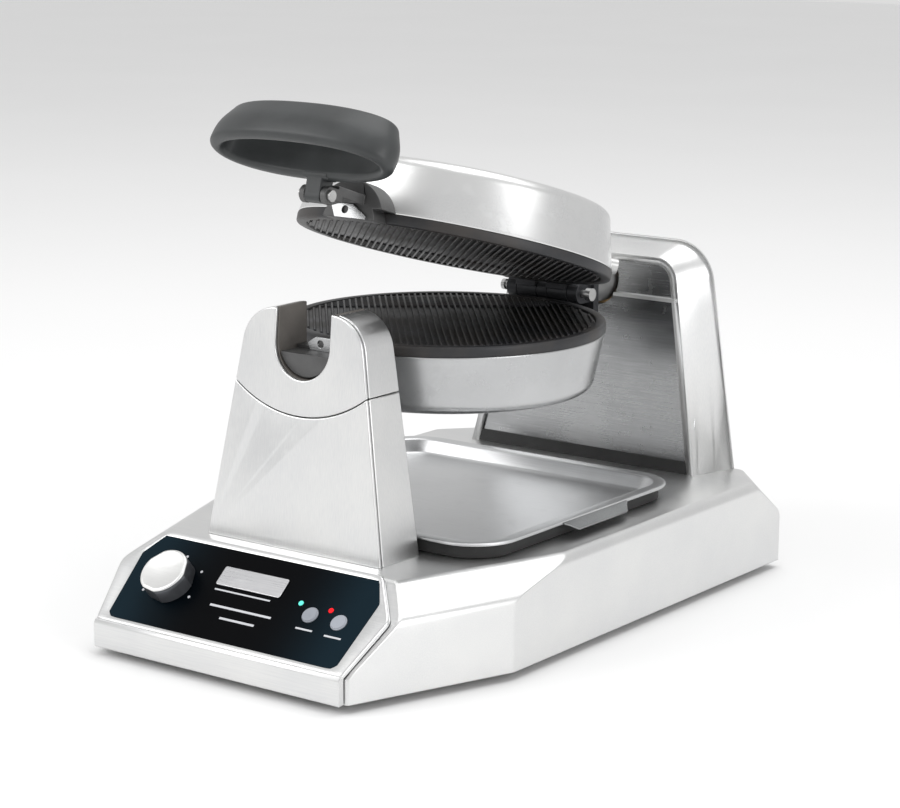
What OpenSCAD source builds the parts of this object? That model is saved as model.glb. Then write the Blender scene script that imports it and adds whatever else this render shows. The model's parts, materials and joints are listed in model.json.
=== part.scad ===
// Rotary waffle cone maker: a heated round head that turns end over end between two towers.
// X is across the machine, Y runs from the controls to the back, Z is up. All sizes in millimetres.
// The origin is on the table under the middle of the base. The lid is drawn part open.

/* [Base] */
// Width of the base across its long sides
base_w = 267.4; // [240:0.2:300]
// Depth of the base from the front lip to the back wall
base_d = 420.7; // [400:0.1:440]
// Height of the deck above the table
deck_z = 64; // [58:1:70]
// Width of the front lip, between the two cut front corners
lip_w = 186.4; // [170:0.2:200]
// How far back the cut front corners run
corner_run = 111; // [95:1:125]
// Height of the rubber feet
foot_h = 5; // [4:0.5:8]
// Wall thickness of the sheet metal
wall = 2; // [1.5:0.25:2.5]

/* [Control panel] */
// Slope of the control panel above the level
panel_slope = 39.8; // [35:0.2:45]
// Length of the control panel up the slope
panel_len = 70; // [66:1:74]
// Radius of the browning knob
knob_r = 15.5; // [13:0.5:16]
// Height of the browning knob above the panel
knob_h = 12.5; // [10:0.5:15]
// Radius of the push buttons
button_r = 5.2; // [4:0.2:5.6]

/* [Head] */
// Radius of the baking plates
plate_r = 100; // [95:1:102]
// Thickness of a baking plate's rim
plate_t = 6.6; // [5:0.2:8]
// Half of the gap between the two closed plates
half_gap = 3.2; // [2:0.2:4]
// Height of a drum's metal band
band_h = 36.8; // [32:0.2:38]
// Radius of a drum at its outer end
drum_end_r = 93.4; // [88:0.2:95]
// Height of the turning axis above the table
axis_z = 185.8; // [180:0.2:192]
// Distance between neighbouring ribs on the plates
rib_pitch = 3.95; // [3.5:0.05:6]
// How far the lid stands open
lid_open = 17.8; // [10:0.2:25]
// Radius of the neck that lies in the front tower
neck_r = 19.4; // [17:0.2:19.6]
// Outer radius of the hollow hub shaft
hub_r = 16; // [14:0.5:17]

/* [Handle] */
// Width of the handle loop
handle_w = 132; // [110:1:136]
// Depth of the handle loop
handle_depth = 52; // [46:1:54]
// Height of the handle's bar
handle_bar = 28.5; // [22:0.5:30]
// Thickness of the handle's bar
handle_t = 9; // [8:0.5:11]

/* [Tray] */
// Width of the drip tray across its rim
tray_w = 224; // [200:1:228]
// Depth of the drip tray over its rim
tray_d = 219; // [200:1:222]
// Height of the tray's rim above the deck
tray_h = 10.4; // [8:0.2:11]

/* [Hidden] */
$fn = 96;
half_w = base_w / 2;
front_y = -base_d / 2;
back_y = base_d / 2;
lip_y = front_y + 1.6;          // top edge of the front lip, where the slope starts
lip_z = foot_h + 17.4;
sheet_gap = 0.1;                // gap between parts that lie against each other
fit = 0.05;                     // radial clearance of a running fit
panel_t = 3;                    // thickness of the control fascia
overlay_t = 0.6;
corner_z = foot_h + 43.6;       // height where the cut corners begin to slope inwards
corner_slope = 33.4;
rear_cut = 35.7;                // how far forward the slanted facets on the rear corners start
rear_cut_lean = 47.4;
corner_turn = atan2(half_w - lip_w / 2, corner_run);
head_y = 14.4;                  // centre of the round head
rib_turn = 50.2;
hinge_y = head_y + plate_r + 11.7;
rim_z = half_gap + plate_t;     // outer face of a plate's rim, measured from the axis
drum_z = rim_z + band_h;
pin_r = 2.5;
knuckle_r = 7;
tower_top = 206;
tower_foot_w = 65.9;
tower_head_w = 40.1;
slot_r = 20.6;
front_face = [[-138.5, deck_z], [-126.4, tower_top]];
front_back = [[-100.4, deck_z], [-97.9, tower_top]];
cap_seam_z = 160;
seam_arc = [226.2, 82.7];       // height of the centre and radius of the curved seam on the front face
rear_face = [[167.7, deck_z], [184.8, 205.3]];
rear_back_y = 207.6;
rear_front_w = [90.7, 61.8];    // half widths at the foot and at the top, at the front face
rear_back_w = [101.5, 77];
rear_top = [205.3, 215.5];
rear_slice_y = rear_face[0][0] - 1;   // the side faces run forwards to here
rear_slice_w = [rear_front_w[0], rear_front_w[1] - (rear_back_w[1] - rear_front_w[1])
  * (rear_face[1][0] - rear_slice_y) / (rear_back_y - rear_face[1][0])];
rear_slice_top = rear_top[0] - (rear_top[1] - rear_top[0])
  * (rear_face[1][0] - rear_slice_y) / (rear_back_y - rear_face[1][0]);
collar_r = 26;                  // the neck's collar behind the front tower
collar_y = -96.5;
pivot = [-128.5, 10];           // handle pin, closed: y on the machine and height over the axis
pivot_r = 5.3;
loop_mid = [-147, 39.2];        // middle of the handle loop, closed
loop_pitch = 19.6;
knob_at = [-55.5, 34.8];        // places on the panel: x across and distance up the slope
button_at = [[50.4, 33.9], [71.7, 33.1]];
lamp_at = [[39.7, 40.2], [62, 39.8]];
badge_at = [-0.5, 46.5];
badge_size = [48.5, 13.2];
screw_r = 3;
bush_r = 18;
pedestal_y = [191, 200.4];
pedestal_top = 205.2;           // at its front, under the rear tower's sloping top
gland_x = 60;
gland_z = 30;
gland_bore = 4.2;
tray_y = 11.6;                  // centre of the tray
tray_t = 1;

// ---- shared outlines and placing ----

// Points on an arc, from angle a0 to angle a1.
function arc(c, r, a0, a1, n = 8) =
    [for (i = [0:n]) let (a = a0 + (a1 - a0) * i / n) c + r * [cos(a), sin(a)]];

// A rectangle with round corners, centred on the origin.
function round_rect(w, d, r, n = 8) = concat(
  arc([w / 2 - r, d / 2 - r], r, 0, 90, n), arc([r - w / 2, d / 2 - r], r, 90, 180, n),
  arc([r - w / 2, r - d / 2], r, 180, 270, n), arc([w / 2 - r, r - d / 2], r, 270, 360, n));

// Mirrors the right half of an outline, given from bottom to top, to make the whole outline.
function both_sides(half) = concat(half, [for (i = [len(half) - 1:-1:0]) [-half[i][0], half[i][1]]]);

// The base seen from above, with its walls moved in by t.
function base_plan(t = 0) = both_sides([
  [lip_w / 2 - t * tan(45 - corner_turn / 2), front_y + t],
      [half_w - t, front_y + corner_run + t * tan(corner_turn / 2)],
  [half_w - t, back_y - t]]);

// A leaning face's y at height z.
function lean(face, z) = face[0][0] +
    (face[1][0] - face[0][0]) * (z - face[0][1]) / (face[1][1] - face[0][1]);

// Half the front tower's width at height z.
function tower_half(z) = tower_foot_w + (tower_head_w - tower_foot_w) * (z - deck_z) / (tower_top - deck_z);

module both() {
  children();
  mirror([1, 0, 0]) children();
}

// Draws in the panel's own plane: x across, y up the slope, z out of the panel.
module on_panel() {
  translate([0, lip_y, lip_z]) rotate([panel_slope, 0, 0]) children();
}

// Draws about the closed head's centre, with z measured from the axis.
module at_head() {
  translate([0, head_y, axis_z]) children();
}

// Draws about the hinge pin's axis.
module at_hinge() {
  translate([0, hinge_y, axis_z]) children();
}

// Takes what is drawn for the closed lid to where the lid stands open.
module with_lid() {
  at_hinge() rotate([-lid_open, 0, 0]) translate([0, -hinge_y, -axis_z]) children();
}

// A bar along X with the given outline in the YZ plane.
module along_x(w, points) {
  translate([-w / 2, 0, 0]) rotate([90, 0, 90]) linear_extrude(w) polygon(points);
}

// A bar along Y with the given outline in the XZ plane, from y0 to y1.
module along_y(y0, y1, points) {
  translate([0, y1, 0]) rotate([90, 0, 0]) linear_extrude(y1 - y0) polygon(points);
}

// A cylinder along X from x0 to x1.
module rod_x(r, x0, x1) {
  translate([x0, 0, 0]) rotate([0, 90, 0]) cylinder(r = r, h = x1 - x0);
}

// A cylinder along Y from y0 to y1.
module rod_y(r, y0, y1) {
  translate([0, y0, 0]) rotate([-90, 0, 0]) cylinder(r = r, h = y1 - y0);
}

// A pan head screw pointing down, its head on the plane z = 0.
module screw(r = screw_r, len = 8) {
  difference() {
    union() {
      cylinder(r = r, h = 1.8);
      translate([0, 0, -len]) cylinder(r = r * 0.5, h = len);
    }
    for (a = [0, 90]) rotate(a) translate([-r * 0.6, -0.4, 1]) cube([r * 1.2, 0.8, 2]);
  }
}

// ---- base ----

// The base's body with every face moved in by t. The front slope lies under the fascia.
module base_form(t) {
  slope_drop = (panel_t + sheet_gap + t) / cos(panel_slope);
  slope_run = (deck_z - t - lip_z + slope_drop) / tan(panel_slope);
  front_in = front_y + panel_t + 1.7 + t;
  edge_r = 6 - t;
  difference() {
    intersection() {
      translate([0, 0, foot_h]) linear_extrude(deck_z - foot_h) polygon(base_plan(t));
      along_x(base_w, concat([[front_in, foot_h],
          [front_in, lip_z - slope_drop + (front_in - lip_y) * tan(panel_slope)],
        [lip_y + slope_run, deck_z - t]],
        arc([back_y - t - edge_r, deck_z - t - edge_r], edge_r, 90, 0, 10), [[back_y - t, foot_h]]));
    }
    both() translate([lip_w / 2, front_y, corner_z - t / cos(corner_slope)]) rotate([0, 0, -corner_turn])
      rotate([0, corner_slope, 0]) translate([-100, -60, 0]) cube([200, 300, 60]);
    both() translate([half_w, back_y - rear_cut, deck_z - t / cos(rear_cut_lean)]) rotate([0, 0, 41.6])
      rotate([0, rear_cut_lean, 0]) translate([-100, -100, 0]) cube([200, 200, 60]);
    both() translate([half_w - t, 0, deck_z - t]) rotate([0, 45, 0]) cube([5, base_d, 5], center = true);
  }
}

module base_housing() {
  color("gainsboro") difference() {
    base_form(0);
    difference() {
      base_form(wall);
      translate([0, 0, foot_h - 1]) linear_extrude(1) polygon(base_plan(0));
    }
    translate([0, 0, foot_h - 1]) linear_extrude(4) polygon(base_plan(wall));
    on_panel() translate([-78, 10, -12]) cube([156, 50, 12]);
    translate([0, -118, deck_z - 5]) cylinder(r = 8, h = 10);
    translate([0, 194, deck_z - 5]) cylinder(r = 6, h = 10);
    translate([gland_x, back_y - 5, gland_z]) rod_y(8.1, 0, 10);
  }
}

module bottom_plate() {
  color("silver") difference() {
    translate([0, 0, foot_h + 0.2]) linear_extrude(1.5) difference() {
      polygon(base_plan(wall + 3));
      for (x = [-60:20:60]) translate([x, 60]) polygon(round_rect(6, 60, 3));
    }
    at_feet() cylinder(r = 1.8, h = 10);
  }
}

module at_feet() {
  for (p = [[80, -140], [100, 160]]) both() translate([p[0], p[1], 0]) children();
}

module feet() {
  color("dimgray") at_feet() difference() {
    cylinder(r1 = 11, r2 = 13, h = foot_h + 0.1);
    translate([0, 0, -1]) cylinder(r = 4.5, h = 3.5);
    cylinder(r = 1.8, h = foot_h + 1);
  }
}

module foot_screws() {
  color("silver") at_feet() difference() {
    union() {
      translate([0, 0, 1.2]) cylinder(r = 3.6, h = 1.2);
      translate([0, 0, 2.4]) cylinder(r = 1.7, h = 8);
    }
    for (a = [0, 90]) rotate(a) translate([-2, -0.4, 1]) cube([4, 0.8, 0.8]);
  }
}

// ---- control panel ----

// The panel's six-sided outline in its own plane, moved in by t.
function panel_outline(t = 0) = both_sides([
    [lip_w / 2 - t, t * 0.9], [102.4 - t, 41.5 - t * 0.2], [81 - t * 0.6, panel_len - t]]);

module control_fascia() {
  color("gainsboro") difference() {
    union() {
      on_panel() translate([0, 0, -panel_t]) linear_extrude(panel_t) polygon(panel_outline());
      along_x(lip_w, [
          [front_y, foot_h], [lip_y, lip_z], [lip_y + 1.5, lip_z + 0.8],
          [front_y + panel_t + 1.4, lip_z - 1],
        [front_y + panel_t + 1.4, foot_h]]);
    }
    on_panel() {
      translate([0, 0, -overlay_t]) linear_extrude(2) polygon(overlay_outline(-sheet_gap));
      panel_holes(0.3, 10);
    }
  }
}

// The dark overlay's outline: the panel's shape with a silver border left round it.
function overlay_outline(t = 0) = both_sides([
    [83 - t, 3.6 + t], [86.5 - t, 6.5 + t], [90.2 - t, 50.5], [81.2 - t, 65.4 - t]]);

// Everything that passes through the panel, grown by extra.
module panel_holes(extra, depth) {
  translate([knob_at[0], knob_at[1], -depth / 2]) cylinder(r = 4 + extra, h = depth);
  for (p = button_at) translate([p[0], p[1], -depth / 2]) cylinder(r = button_r + extra, h = depth);
  for (p = lamp_at) translate([p[0], p[1], -depth / 2]) cylinder(r = 1.6 + extra, h = depth);
}

module panel_overlay() {
  color("#101a22") on_panel() difference() {
    translate([0, 0, -overlay_t]) linear_extrude(overlay_t) polygon(overlay_outline());
    panel_holes(0.2, 10);
  }
}

module badge_plate() {
  color("silver") on_panel() translate([badge_at[0], badge_at[1], 0])
    linear_extrude(1) polygon(round_rect(badge_size[0], badge_size[1], 1.2, 4));
}

// Plain printed marks: dial dots, a stroke under each button, and plain bars below the badge.
module panel_marks() {
  color("lightgray") on_panel() linear_extrude(0.2) {
    for (a = [-21.5:57.4:210]) translate(knob_at + 19.2 * [cos(a), sin(a)]) circle(r = 0.9, $fn = 16);
    for (p = button_at) translate([p[0] + 1.5, p[1] - 10]) square([12, 1.1], center = true);
    translate([badge_at[0] - 2, badge_at[1] - 9.5]) square([42, 1], center = true);
    for (b = [[3, 26.2, 46], [5, 18.8, 26]]) translate([b[0], b[1]]) square([b[2], 1.4], center = true);
  }
}

module lamp(p, tint) {
  color(tint) on_panel() translate([p[0], p[1], -4]) {
    cylinder(r = 1.6, h = 4.2);
    translate([0, 0, -1]) cylinder(r = 2.6, h = 1);
  }
}

module power_lamp() { lamp(lamp_at[0], "mediumspringgreen"); }

module ready_lamp() { lamp(lamp_at[1], "red"); }

module browning_control() {
  color("gray") on_panel() translate([knob_at[0], knob_at[1], 0]) difference() {
    union() {
      translate([0, 0, -22]) cylinder(r = 13, h = 14);
      translate([0, 0, -8]) cylinder(r = 3.9, h = 8);
    }
    translate([0, 0, -16]) cylinder(r = 3 + fit, h = 20);
  }
}

module control_board() {
  color("darkgreen") on_panel() translate([20, 20, -24]) cube([60, 30, 1.6]);
}

module switch_bodies() {
  color("black") on_panel() for (p = button_at) translate([p[0], p[1], -22.4]) difference() {
    translate([-6, -6, 0]) cube([12, 12, 10]);
    translate([0, 0, 7.8]) cylinder(r = 2.4, h = 3);
  }
}

module relay() {
  color("lightgray") translate([-60, -60, foot_h + 4]) cube([34, 50, 26]);
}

module terminal_block() {
  color("ivory") translate([30, 120, foot_h + 4]) difference() {
    cube([60, 24, 18]);
    for (x = [10:20:50]) translate([x, 12, 10]) cylinder(r = 3, h = 10);
  }
}

module cord_gland() {
  color("dimgray") translate([gland_x, 0, gland_z]) difference() {
    union() {
      rod_y(8, back_y - 12, back_y);
      translate([0, back_y - wall - 6, 0]) rotate([-90, 0, 0]) cylinder(r = 12, h = 4, $fn = 6);
    }
    rod_y(gland_bore, back_y - 13, back_y + 1);
  }
}

module rating_plate() {
  color("silver") translate([0, rear_back_y + 0.6, 110]) rotate([90, 0, 0])
    linear_extrude(0.5) polygon(round_rect(56, 32, 2, 4));
}

// ---- front tower ----

// The front tower seen from the front, with its faces moved in by t and round shoulders.
function tower_outline(t) = let (r = 24 - t, x = tower_half(tower_top - 24) - t - r + 1)
  both_sides(concat([[tower_half(deck_z) - t, deck_z]], arc([x, tower_top - t - r], r, 8, 90, 10)));

// The solid tower with its faces moved in by t, and by more at the front.
module tower_form(t, front) {
  intersection() {
    along_y(-150, -90, tower_outline(t));
    along_x(200, [[front_face[0][0] + front, deck_z], [front_face[1][0] + front, tower_top + 0.1],
      [front_back[1][0] - t, tower_top + 0.1], [front_back[0][0] - t, deck_z]]);
  }
}

// The neck slot: round at the bottom and open at the top.
module neck_slot(r) {
  translate([0, 0, axis_z]) {
    rod_y(r, -160, -80);
    translate([-r, -160, 0]) cube([2 * r, 80, 60]);
  }
}

// The part of the tower below the cap's seam on the front face.
module below_front_seam() {
  difference() {
    translate([-100, -160, 0]) cube([200, 100, cap_seam_z]);
    translate([0, 0, seam_arc[0]]) rod_y(seam_arc[1], -170, -50);
  }
}

module tower_plate() {
  intersection() {
    tower_form(0, 0);
    along_x(200, [
        [front_face[0][0], deck_z], [front_face[1][0], tower_top + 0.1],
        [front_face[1][0] + 2.4, tower_top + 0.1],
      [front_face[0][0] + 2.4, deck_z]]);
  }
}

module tower_front_lower() {
  color("gainsboro") intersection() {
    tower_plate();
    below_front_seam();
  }
}

module tower_front_upper() {
  color("gainsboro") difference() {
    tower_plate();
    translate([0, 0, 0.6]) below_front_seam();
    translate([-100, -160, 0]) cube([200, 100, cap_seam_z - 40]);
    neck_slot(slot_r);
  }
}

// The tower's sides and back as one bent sheet.
module tower_shell() {
  difference() {
    tower_form(0, 3.2);
    tower_form(wall, 1);
    neck_slot(slot_r + 3.1);
  }
}

module tower_wrap() {
  color("gainsboro") intersection() {
    tower_shell();
    translate([-100, -160, 0]) cube([200, 100, cap_seam_z - 0.3]);
  }
}

module tower_cap() {
  color("gainsboro") difference() {
    tower_shell();
    translate([-100, -160, 0]) cube([200, 100, cap_seam_z + 0.3]);
  }
}

module neck_saddle() {
  color("dimgray") intersection() {
    difference() {
      neck_slot(slot_r + 3);
      neck_slot(slot_r);
    }
    along_x(60, [
        [lean(front_face, deck_z) + 3, deck_z], [front_face[1][0] + 3, tower_top],
        [front_back[1][0], tower_top],
      [front_back[0][0], deck_z]]);
  }
}

module saddle_pedestal() {
  color("gray") translate([0, 0, deck_z]) difference() {
    translate([-16, -124, 0]) cube([32, 18, axis_z - deck_z - 17]);
    translate([0, 0, axis_z - deck_z]) rod_y(slot_r + 3.1, -130, -90);
    translate([0, -118, -1]) cylinder(r = 6, h = 60);
  }
}

// ---- rear tower ----

// A slice of the rear tower: its outline at the front or at the back, moved in by t.
function rear_outline(w, top, t, r) = both_sides(concat([[w[0] - t, deck_z]],
  arc([w[1] - t - r + 4, top - t - r], r, 6, 90, 8)));

// The rear tower's body between its two outlines, moved in by t.
module rear_form(t) {
  intersection() {
    hull() {
      along_y(rear_slice_y, rear_slice_y + 1, rear_outline(rear_slice_w, rear_slice_top, t, 16));
      along_y(rear_back_y - t - 1, rear_back_y - t, rear_outline(rear_back_w, rear_top[1], t, 26));
    }
    along_x(240, [
        [rear_face[0][0], deck_z], [rear_face[1][0] + 1.3, 216], [rear_back_y, 216],
        [rear_back_y, deck_z]]);
  }
}

module rear_cover() {
  color("gainsboro") difference() {
    rear_form(0);
    rear_form(wall);
  }
}

module rear_plate() {
  color("silver") difference() {
    intersection() {
      rear_form(wall + sheet_gap);
      along_x(240, [
          [rear_face[0][0] + 3, deck_z], [rear_face[1][0] + 4.3, 216], [rear_face[1][0] + 6.3, 216],
        [rear_face[0][0] + 5, deck_z]]);
    }
    translate([0, 0, axis_z]) rod_y(hub_r + 2, 150, 220);
  }
}

module bearing_pedestal() {
  color("gray") difference() {
    intersection() {
      along_y(pedestal_y[0], pedestal_y[1], [
          [-44, deck_z], [44, deck_z], [26, axis_z + 14], [16, axis_z + 24],
        [-16, axis_z + 24], [-26, axis_z + 14]]);
      along_x(100, [
          [pedestal_y[0], deck_z], [pedestal_y[0], pedestal_top], [pedestal_y[1], pedestal_top + 3.6],
        [pedestal_y[1], deck_z]]);
    }
    translate([0, 0, axis_z]) rod_y(bush_r, 180, 210);
    translate([-9, 180, deck_z - 1]) cube([18, 30, 20]);
    translate([0, 0, axis_z]) stop_pin_at() rod_y(2, 190, 210);
  }
}

module bearing_bush() {
  color("peru") translate([0, 0, axis_z]) difference() {
    union() {
      rod_y(bush_r, pedestal_y[0], pedestal_y[1]);
      rod_y(bush_r + 2.2, pedestal_y[1], pedestal_y[1] + 1.2);
    }
    rod_y(hub_r + fit, 180, 210);
  }
}

// Where the stop pin stands, straight below the hub.
module stop_pin_at() {
  rotate([0, 180, 0]) translate([0, 0, 24]) children();
}

module turn_stop() {
  color("silver") translate([0, 0, axis_z]) stop_pin_at() rod_y(2, pedestal_y[1] - 8, pedestal_y[1] + 4.6);
}

module tower_screws() {
  color("silver") {
    for (z = [90, 150]) both() translate([62, rear_back_y + 1.1, z]) rotate([-90, 0, 0]) screw(3, 1);
  }
}

// ---- head ----

// The closed head's outer shape grown by extra, for cutting what lies against it.
module head_solid(extra = sheet_gap) {
  at_head() {
    translate([0, 0, -rim_z - 0.1]) cylinder(r = plate_r + extra, h = 2 * rim_z + 0.2);
    for (m = [0, 1]) mirror([0, 0, m]) translate([0, 0, rim_z])
      cylinder(r1 = plate_r - 0.6 + extra, r2 = drum_end_r + extra, h = band_h - 6);
  }
}

// A drum's thin shell, opening down towards the plate.
module drum_shell() {
  end_arc = arc([drum_end_r - 6, drum_z - 6], 6, 8, 90, 8);
  in_arc = arc([drum_end_r - 6, drum_z - 6], 4.4, 90, 8, 8);
  difference() {
    at_head() rotate_extrude() polygon(concat([[plate_r - 0.6, rim_z + sheet_gap]], end_arc,
      [[0, drum_z], [0, drum_z - 1.6]], in_arc, [[plate_r - 2.2, rim_z + sheet_gap]]));
    at_drum_screws() translate([0, 0, -5]) cylinder(r = 1.8, h = 10);
  }
}

// A baking plate: a rim round a shallow floor with straight ribs across it.
module baking_plate() {
  floor_r = plate_r - 7;
  at_head() {
    difference() {
      translate([0, 0, half_gap]) cylinder(r = plate_r, h = plate_t);
      translate([0, 0, half_gap - 1]) cylinder(r = floor_r, h = 2.4);
    }
    intersection() {
      translate([0, 0, half_gap]) cylinder(r = floor_r - 0.6, h = 1.6);
      rotate(-rib_turn) for (i = [-23:23])
          translate([-plate_r, i * rib_pitch - 0.8, half_gap]) cube([2 * plate_r, 1.6, 2]);
    }
  }
}

module heating_element() {
  at_head() {
    rotate_extrude() translate([62, rim_z + 4.3]) circle(r = 4, $fn = 32);
    for (x = [-8, 8]) translate([x, 62, rim_z + 8]) cylinder(r = 2, h = 8);
  }
}

module heat_shield() {
  at_head() translate([0, 0, rim_z + 20]) difference() {
    cylinder(r = 89, h = 1);
    translate([0, 0, -1]) cylinder(r = 5, h = 3);
    for (a = [0:60:300]) rotate(a + 30) translate([70, 0, -1]) cylinder(r = 3, h = 3);
  }
}

module at_drum_screws() {
  at_head() for (a = [90:120:330]) rotate(a) translate([58, 0, drum_z]) children();
}

module drum_screws() {
  at_drum_screws() screw(3.4, 1);
}

module lower_half() {
  translate([0, 0, 2 * axis_z]) mirror([0, 0, 1]) children();
}

module lower_shell() { color("gainsboro") lower_half() drum_shell(); }

module lower_plate() { color("#26272a") lower_half() baking_plate(); }

module lower_element() { color("sienna") lower_half() heating_element(); }

module lower_shield() { color("silver") lower_half() heat_shield(); }

module lower_screws() { color("silver") lower_half() drum_screws(); }

module lower_sensor() {
  color("silver") lower_half() at_head() translate([24, 10, rim_z + 0.1]) {
    cylinder(r = 5, h = 7);
    for (x = [-2, 2]) translate([x - 0.5, -1.5, 7]) cube([1, 3, 5]);
  }
}

// The half collar that closes a drum's band behind the front tower.
module neck_collar() {
  intersection() {
    translate([0, 0, axis_z]) rod_y(collar_r, collar_y, head_y - 88);
    translate([-30, collar_y - 1, axis_z + rim_z + sheet_gap]) cube([60, 30, 30]);
  }
}

module lower_neck() {
  color("gray") difference() {
    union() {
      translate([0, 0, axis_z]) rod_y(neck_r, -125.3, head_y - 88);
      lower_half() neck_collar();
    }
    translate([-30, -130, axis_z - 5.8]) cube([60, 20, 40]);
    translate([-30, -120, axis_z - 3.8]) cube([60, 60, 40]);
    head_solid();
  }
}

module lower_latch() {
  color("lightgray") translate([0, 0, axis_z]) difference() {
    along_y(-112.1, -110.5, [[-7, -5.7], [12, -5.7], [9, 2.5], [-3, 2.5], [-9, -1]]);
    translate([1, 0, -1.5]) rod_y(2.2, -120, -100);
  }
}

// The knuckles that stay with the lower drum.
module lower_knuckles() {
  for (x = [-24, 0, 24]) {
    rod_x(knuckle_r, x - 4, x + 4);
    translate([x - 4, 0, -knuckle_r]) cube([8, 10, 2 * knuckle_r]);
  }
}

module hinge_yoke() {
  color("#35373a") difference() {
    at_hinge() {
      lower_knuckles();
      along_x(62, [[9.4, 14], [9.4, -12], [-26, -12], [-26, -24], [10, -24], [15, -18], [15, 14]]);
    }
    at_hinge() rod_x(pin_r + fit, -40, 40);
    for (x = [-12, 12]) translate([x, 0, axis_z]) rod_y(3.6, 130, 160);
    head_solid();
  }
}

module hub_shaft() {
  color("silver") translate([0, 0, axis_z]) difference() {
    union() {
      rod_y(hub_r, hinge_y + 15.05, pedestal_y[1] + 4.6);
      rod_y(hub_r + 3, hinge_y + 15.05, hinge_y + 19);
    }
    rod_y(11, 130, 220);
  }
}

// A ring that holds the shaft; its raised half meets the stop pin at each end of the turn.
module retaining_ring() {
  color("silver") translate([0, 0, axis_z]) difference() {
    union() {
      rod_y(20, pedestal_y[1] + 1.4, pedestal_y[1] + 4.2);
      intersection() {
        rod_y(26, pedestal_y[1] + 1.4, pedestal_y[1] + 4.2);
        translate([-60, 180, -40]) cube([57, 40, 80]);
      }
    }
    rod_y(hub_r, 180, 220);
  }
}

module hinge_pin() {
  color("silver") at_hinge() {
    rod_x(pin_r, -34, 34);
    rod_x(4.2, 32, 36);
    rod_x(3.6, -35, -32.5);
  }
}

// ---- lid ----

module upper_shell() { color("gainsboro") with_lid() drum_shell(); }

module upper_plate() { color("#26272a") with_lid() baking_plate(); }

module upper_element() { color("sienna") with_lid() heating_element(); }

module upper_shield() { color("silver") with_lid() heat_shield(); }

module upper_screws() { color("silver") with_lid() drum_screws(); }

module hinge_arm() {
  color("#35373a") with_lid() difference() {
    at_hinge() {
      for (x = [-12, 12]) {
        rod_x(knuckle_r, x - 7.6, x + 7.6);
        translate([x - 7.6, -9, 0]) cube([15.2, 9, knuckle_r]);
      }
      along_x(56, [[-7.6, 3.6], [-7.6, 8.6], [-18, 20], [-26, 20], [-26, 3.6]]);
    }
    at_hinge() rod_x(pin_r + fit, -40, 40);
    head_solid();
  }
}

module side_studs() {
  color("silver") with_lid() difference() {
    both() at_head() rotate(-44) translate([0, 0, rim_z + 6]) rod_y(5, 90, plate_r + 5);
    head_solid(0.05);
  }
}

module upper_neck() {
  color("gray") with_lid() difference() {
    union() {
      neck_collar();
      intersection() {
        translate([0, 0, axis_z]) rod_y(neck_r, -140, head_y - 88);
        translate([0, 0, axis_z]) {
          translate([-30, collar_y, 2.6]) cube([60, 30, 40]);
          translate([-9.8, pivot[0] + pivot_r + 1.8, 11.4]) cube([19.6, 30, 6]);
          both() {
            translate([5.9, pivot[0], pivot[1] - 2]) cube([3.9, 12, 7.2]);
            translate([0, pivot[0], pivot[1]]) rod_x(pivot_r, 5.9, 9.8);
          }
        }
      }
    }
    translate([0, pivot[0], axis_z + pivot[1]]) rod_x(pin_r + fit, -20, 20);
    head_solid();
  }
}

module upper_latch() {
  color("lightgray") with_lid() translate([0, 0, axis_z]) difference() {
    along_y(collar_y - 1.6, collar_y - 0.1, [
        [-9, 2.7], [14, 2.7], [14, 4.4], [3, 11.1], [-6, 11.1], [-12.5, 9]]);
    translate([-2, 0, 7.4]) rod_y(2.4, -110, -90);
  }
}

module handle_pin() {
  color("silver") with_lid() translate([0, pivot[0], axis_z + pivot[1]]) {
    rod_x(pin_r, -10.2, 10.2);
    rod_x(3.4, 10, 11.6);
    rod_x(3.4, -11.6, -10);
  }
}

// ---- handle ----

// A smooth oval, squarer than an ellipse.
function oval(w, d, n = 56) = [for (i = [0:n - 1]) let (a = 360 * i / n, c = cos(a), s = sin(a))
  [w / 2 * sign(c) * pow(abs(c), 0.85), d / 2 * sign(s) * pow(abs(s), 0.9)]];

module handle_loop() {
  color("#3c3d3f") with_lid() difference() {
    union() {
      translate([0, loop_mid[0], axis_z + loop_mid[1]]) rotate([-loop_pitch, 0, 0])
        translate([0, 0, -handle_bar / 2]) linear_extrude(handle_bar) difference() {
          polygon(oval(handle_w, handle_depth));
          polygon(oval(handle_w - 2 * handle_t, handle_depth - 2 * handle_t));
        }
      translate([0, pivot[0], axis_z + pivot[1]]) {
        rod_x(pivot_r, -5.7, 5.7);
        along_x(11.4, [[-5, 0], [4.6, 2], [6, 14], [-6, 14]]);
        along_x(19, [[-6.4, 8.4], [5, 8.4], [5.4, 14], [-6.4, 12.4]]);
      }
    }
    translate([0, pivot[0], axis_z + pivot[1]]) rod_x(pin_r + fit, -20, 20);
  }
}

// ---- knob, buttons and tray ----

module knob_skirt() {
  color("#4a4c50") on_panel() translate([knob_at[0], knob_at[1], 0]) {
    difference() {
      translate([0, 0, 0.4]) cylinder(r = knob_r, h = knob_h - 1.9);
      for (a = [20, 140, 260]) rotate(a) translate([knob_r - 0.9, -20, -1]) cube([10, 40, 20]);
    }
    translate([0, 0, -14]) cylinder(r = 3, h = 15);
  }
}

module knob_cap() {
  color("whitesmoke") on_panel() translate([knob_at[0], knob_at[1], knob_h - 1.4]) difference() {
    union() {
      cylinder(r = knob_r - 0.3, h = 0.8);
      translate([0, 0, 0.8]) cylinder(r = knob_r - 1.1, h = 0.6);
    }
    for (a = [20, 140, 260]) rotate(a) translate([knob_r - 1.2, -20, -1]) cube([10, 40, 20]);
  }
}

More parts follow.
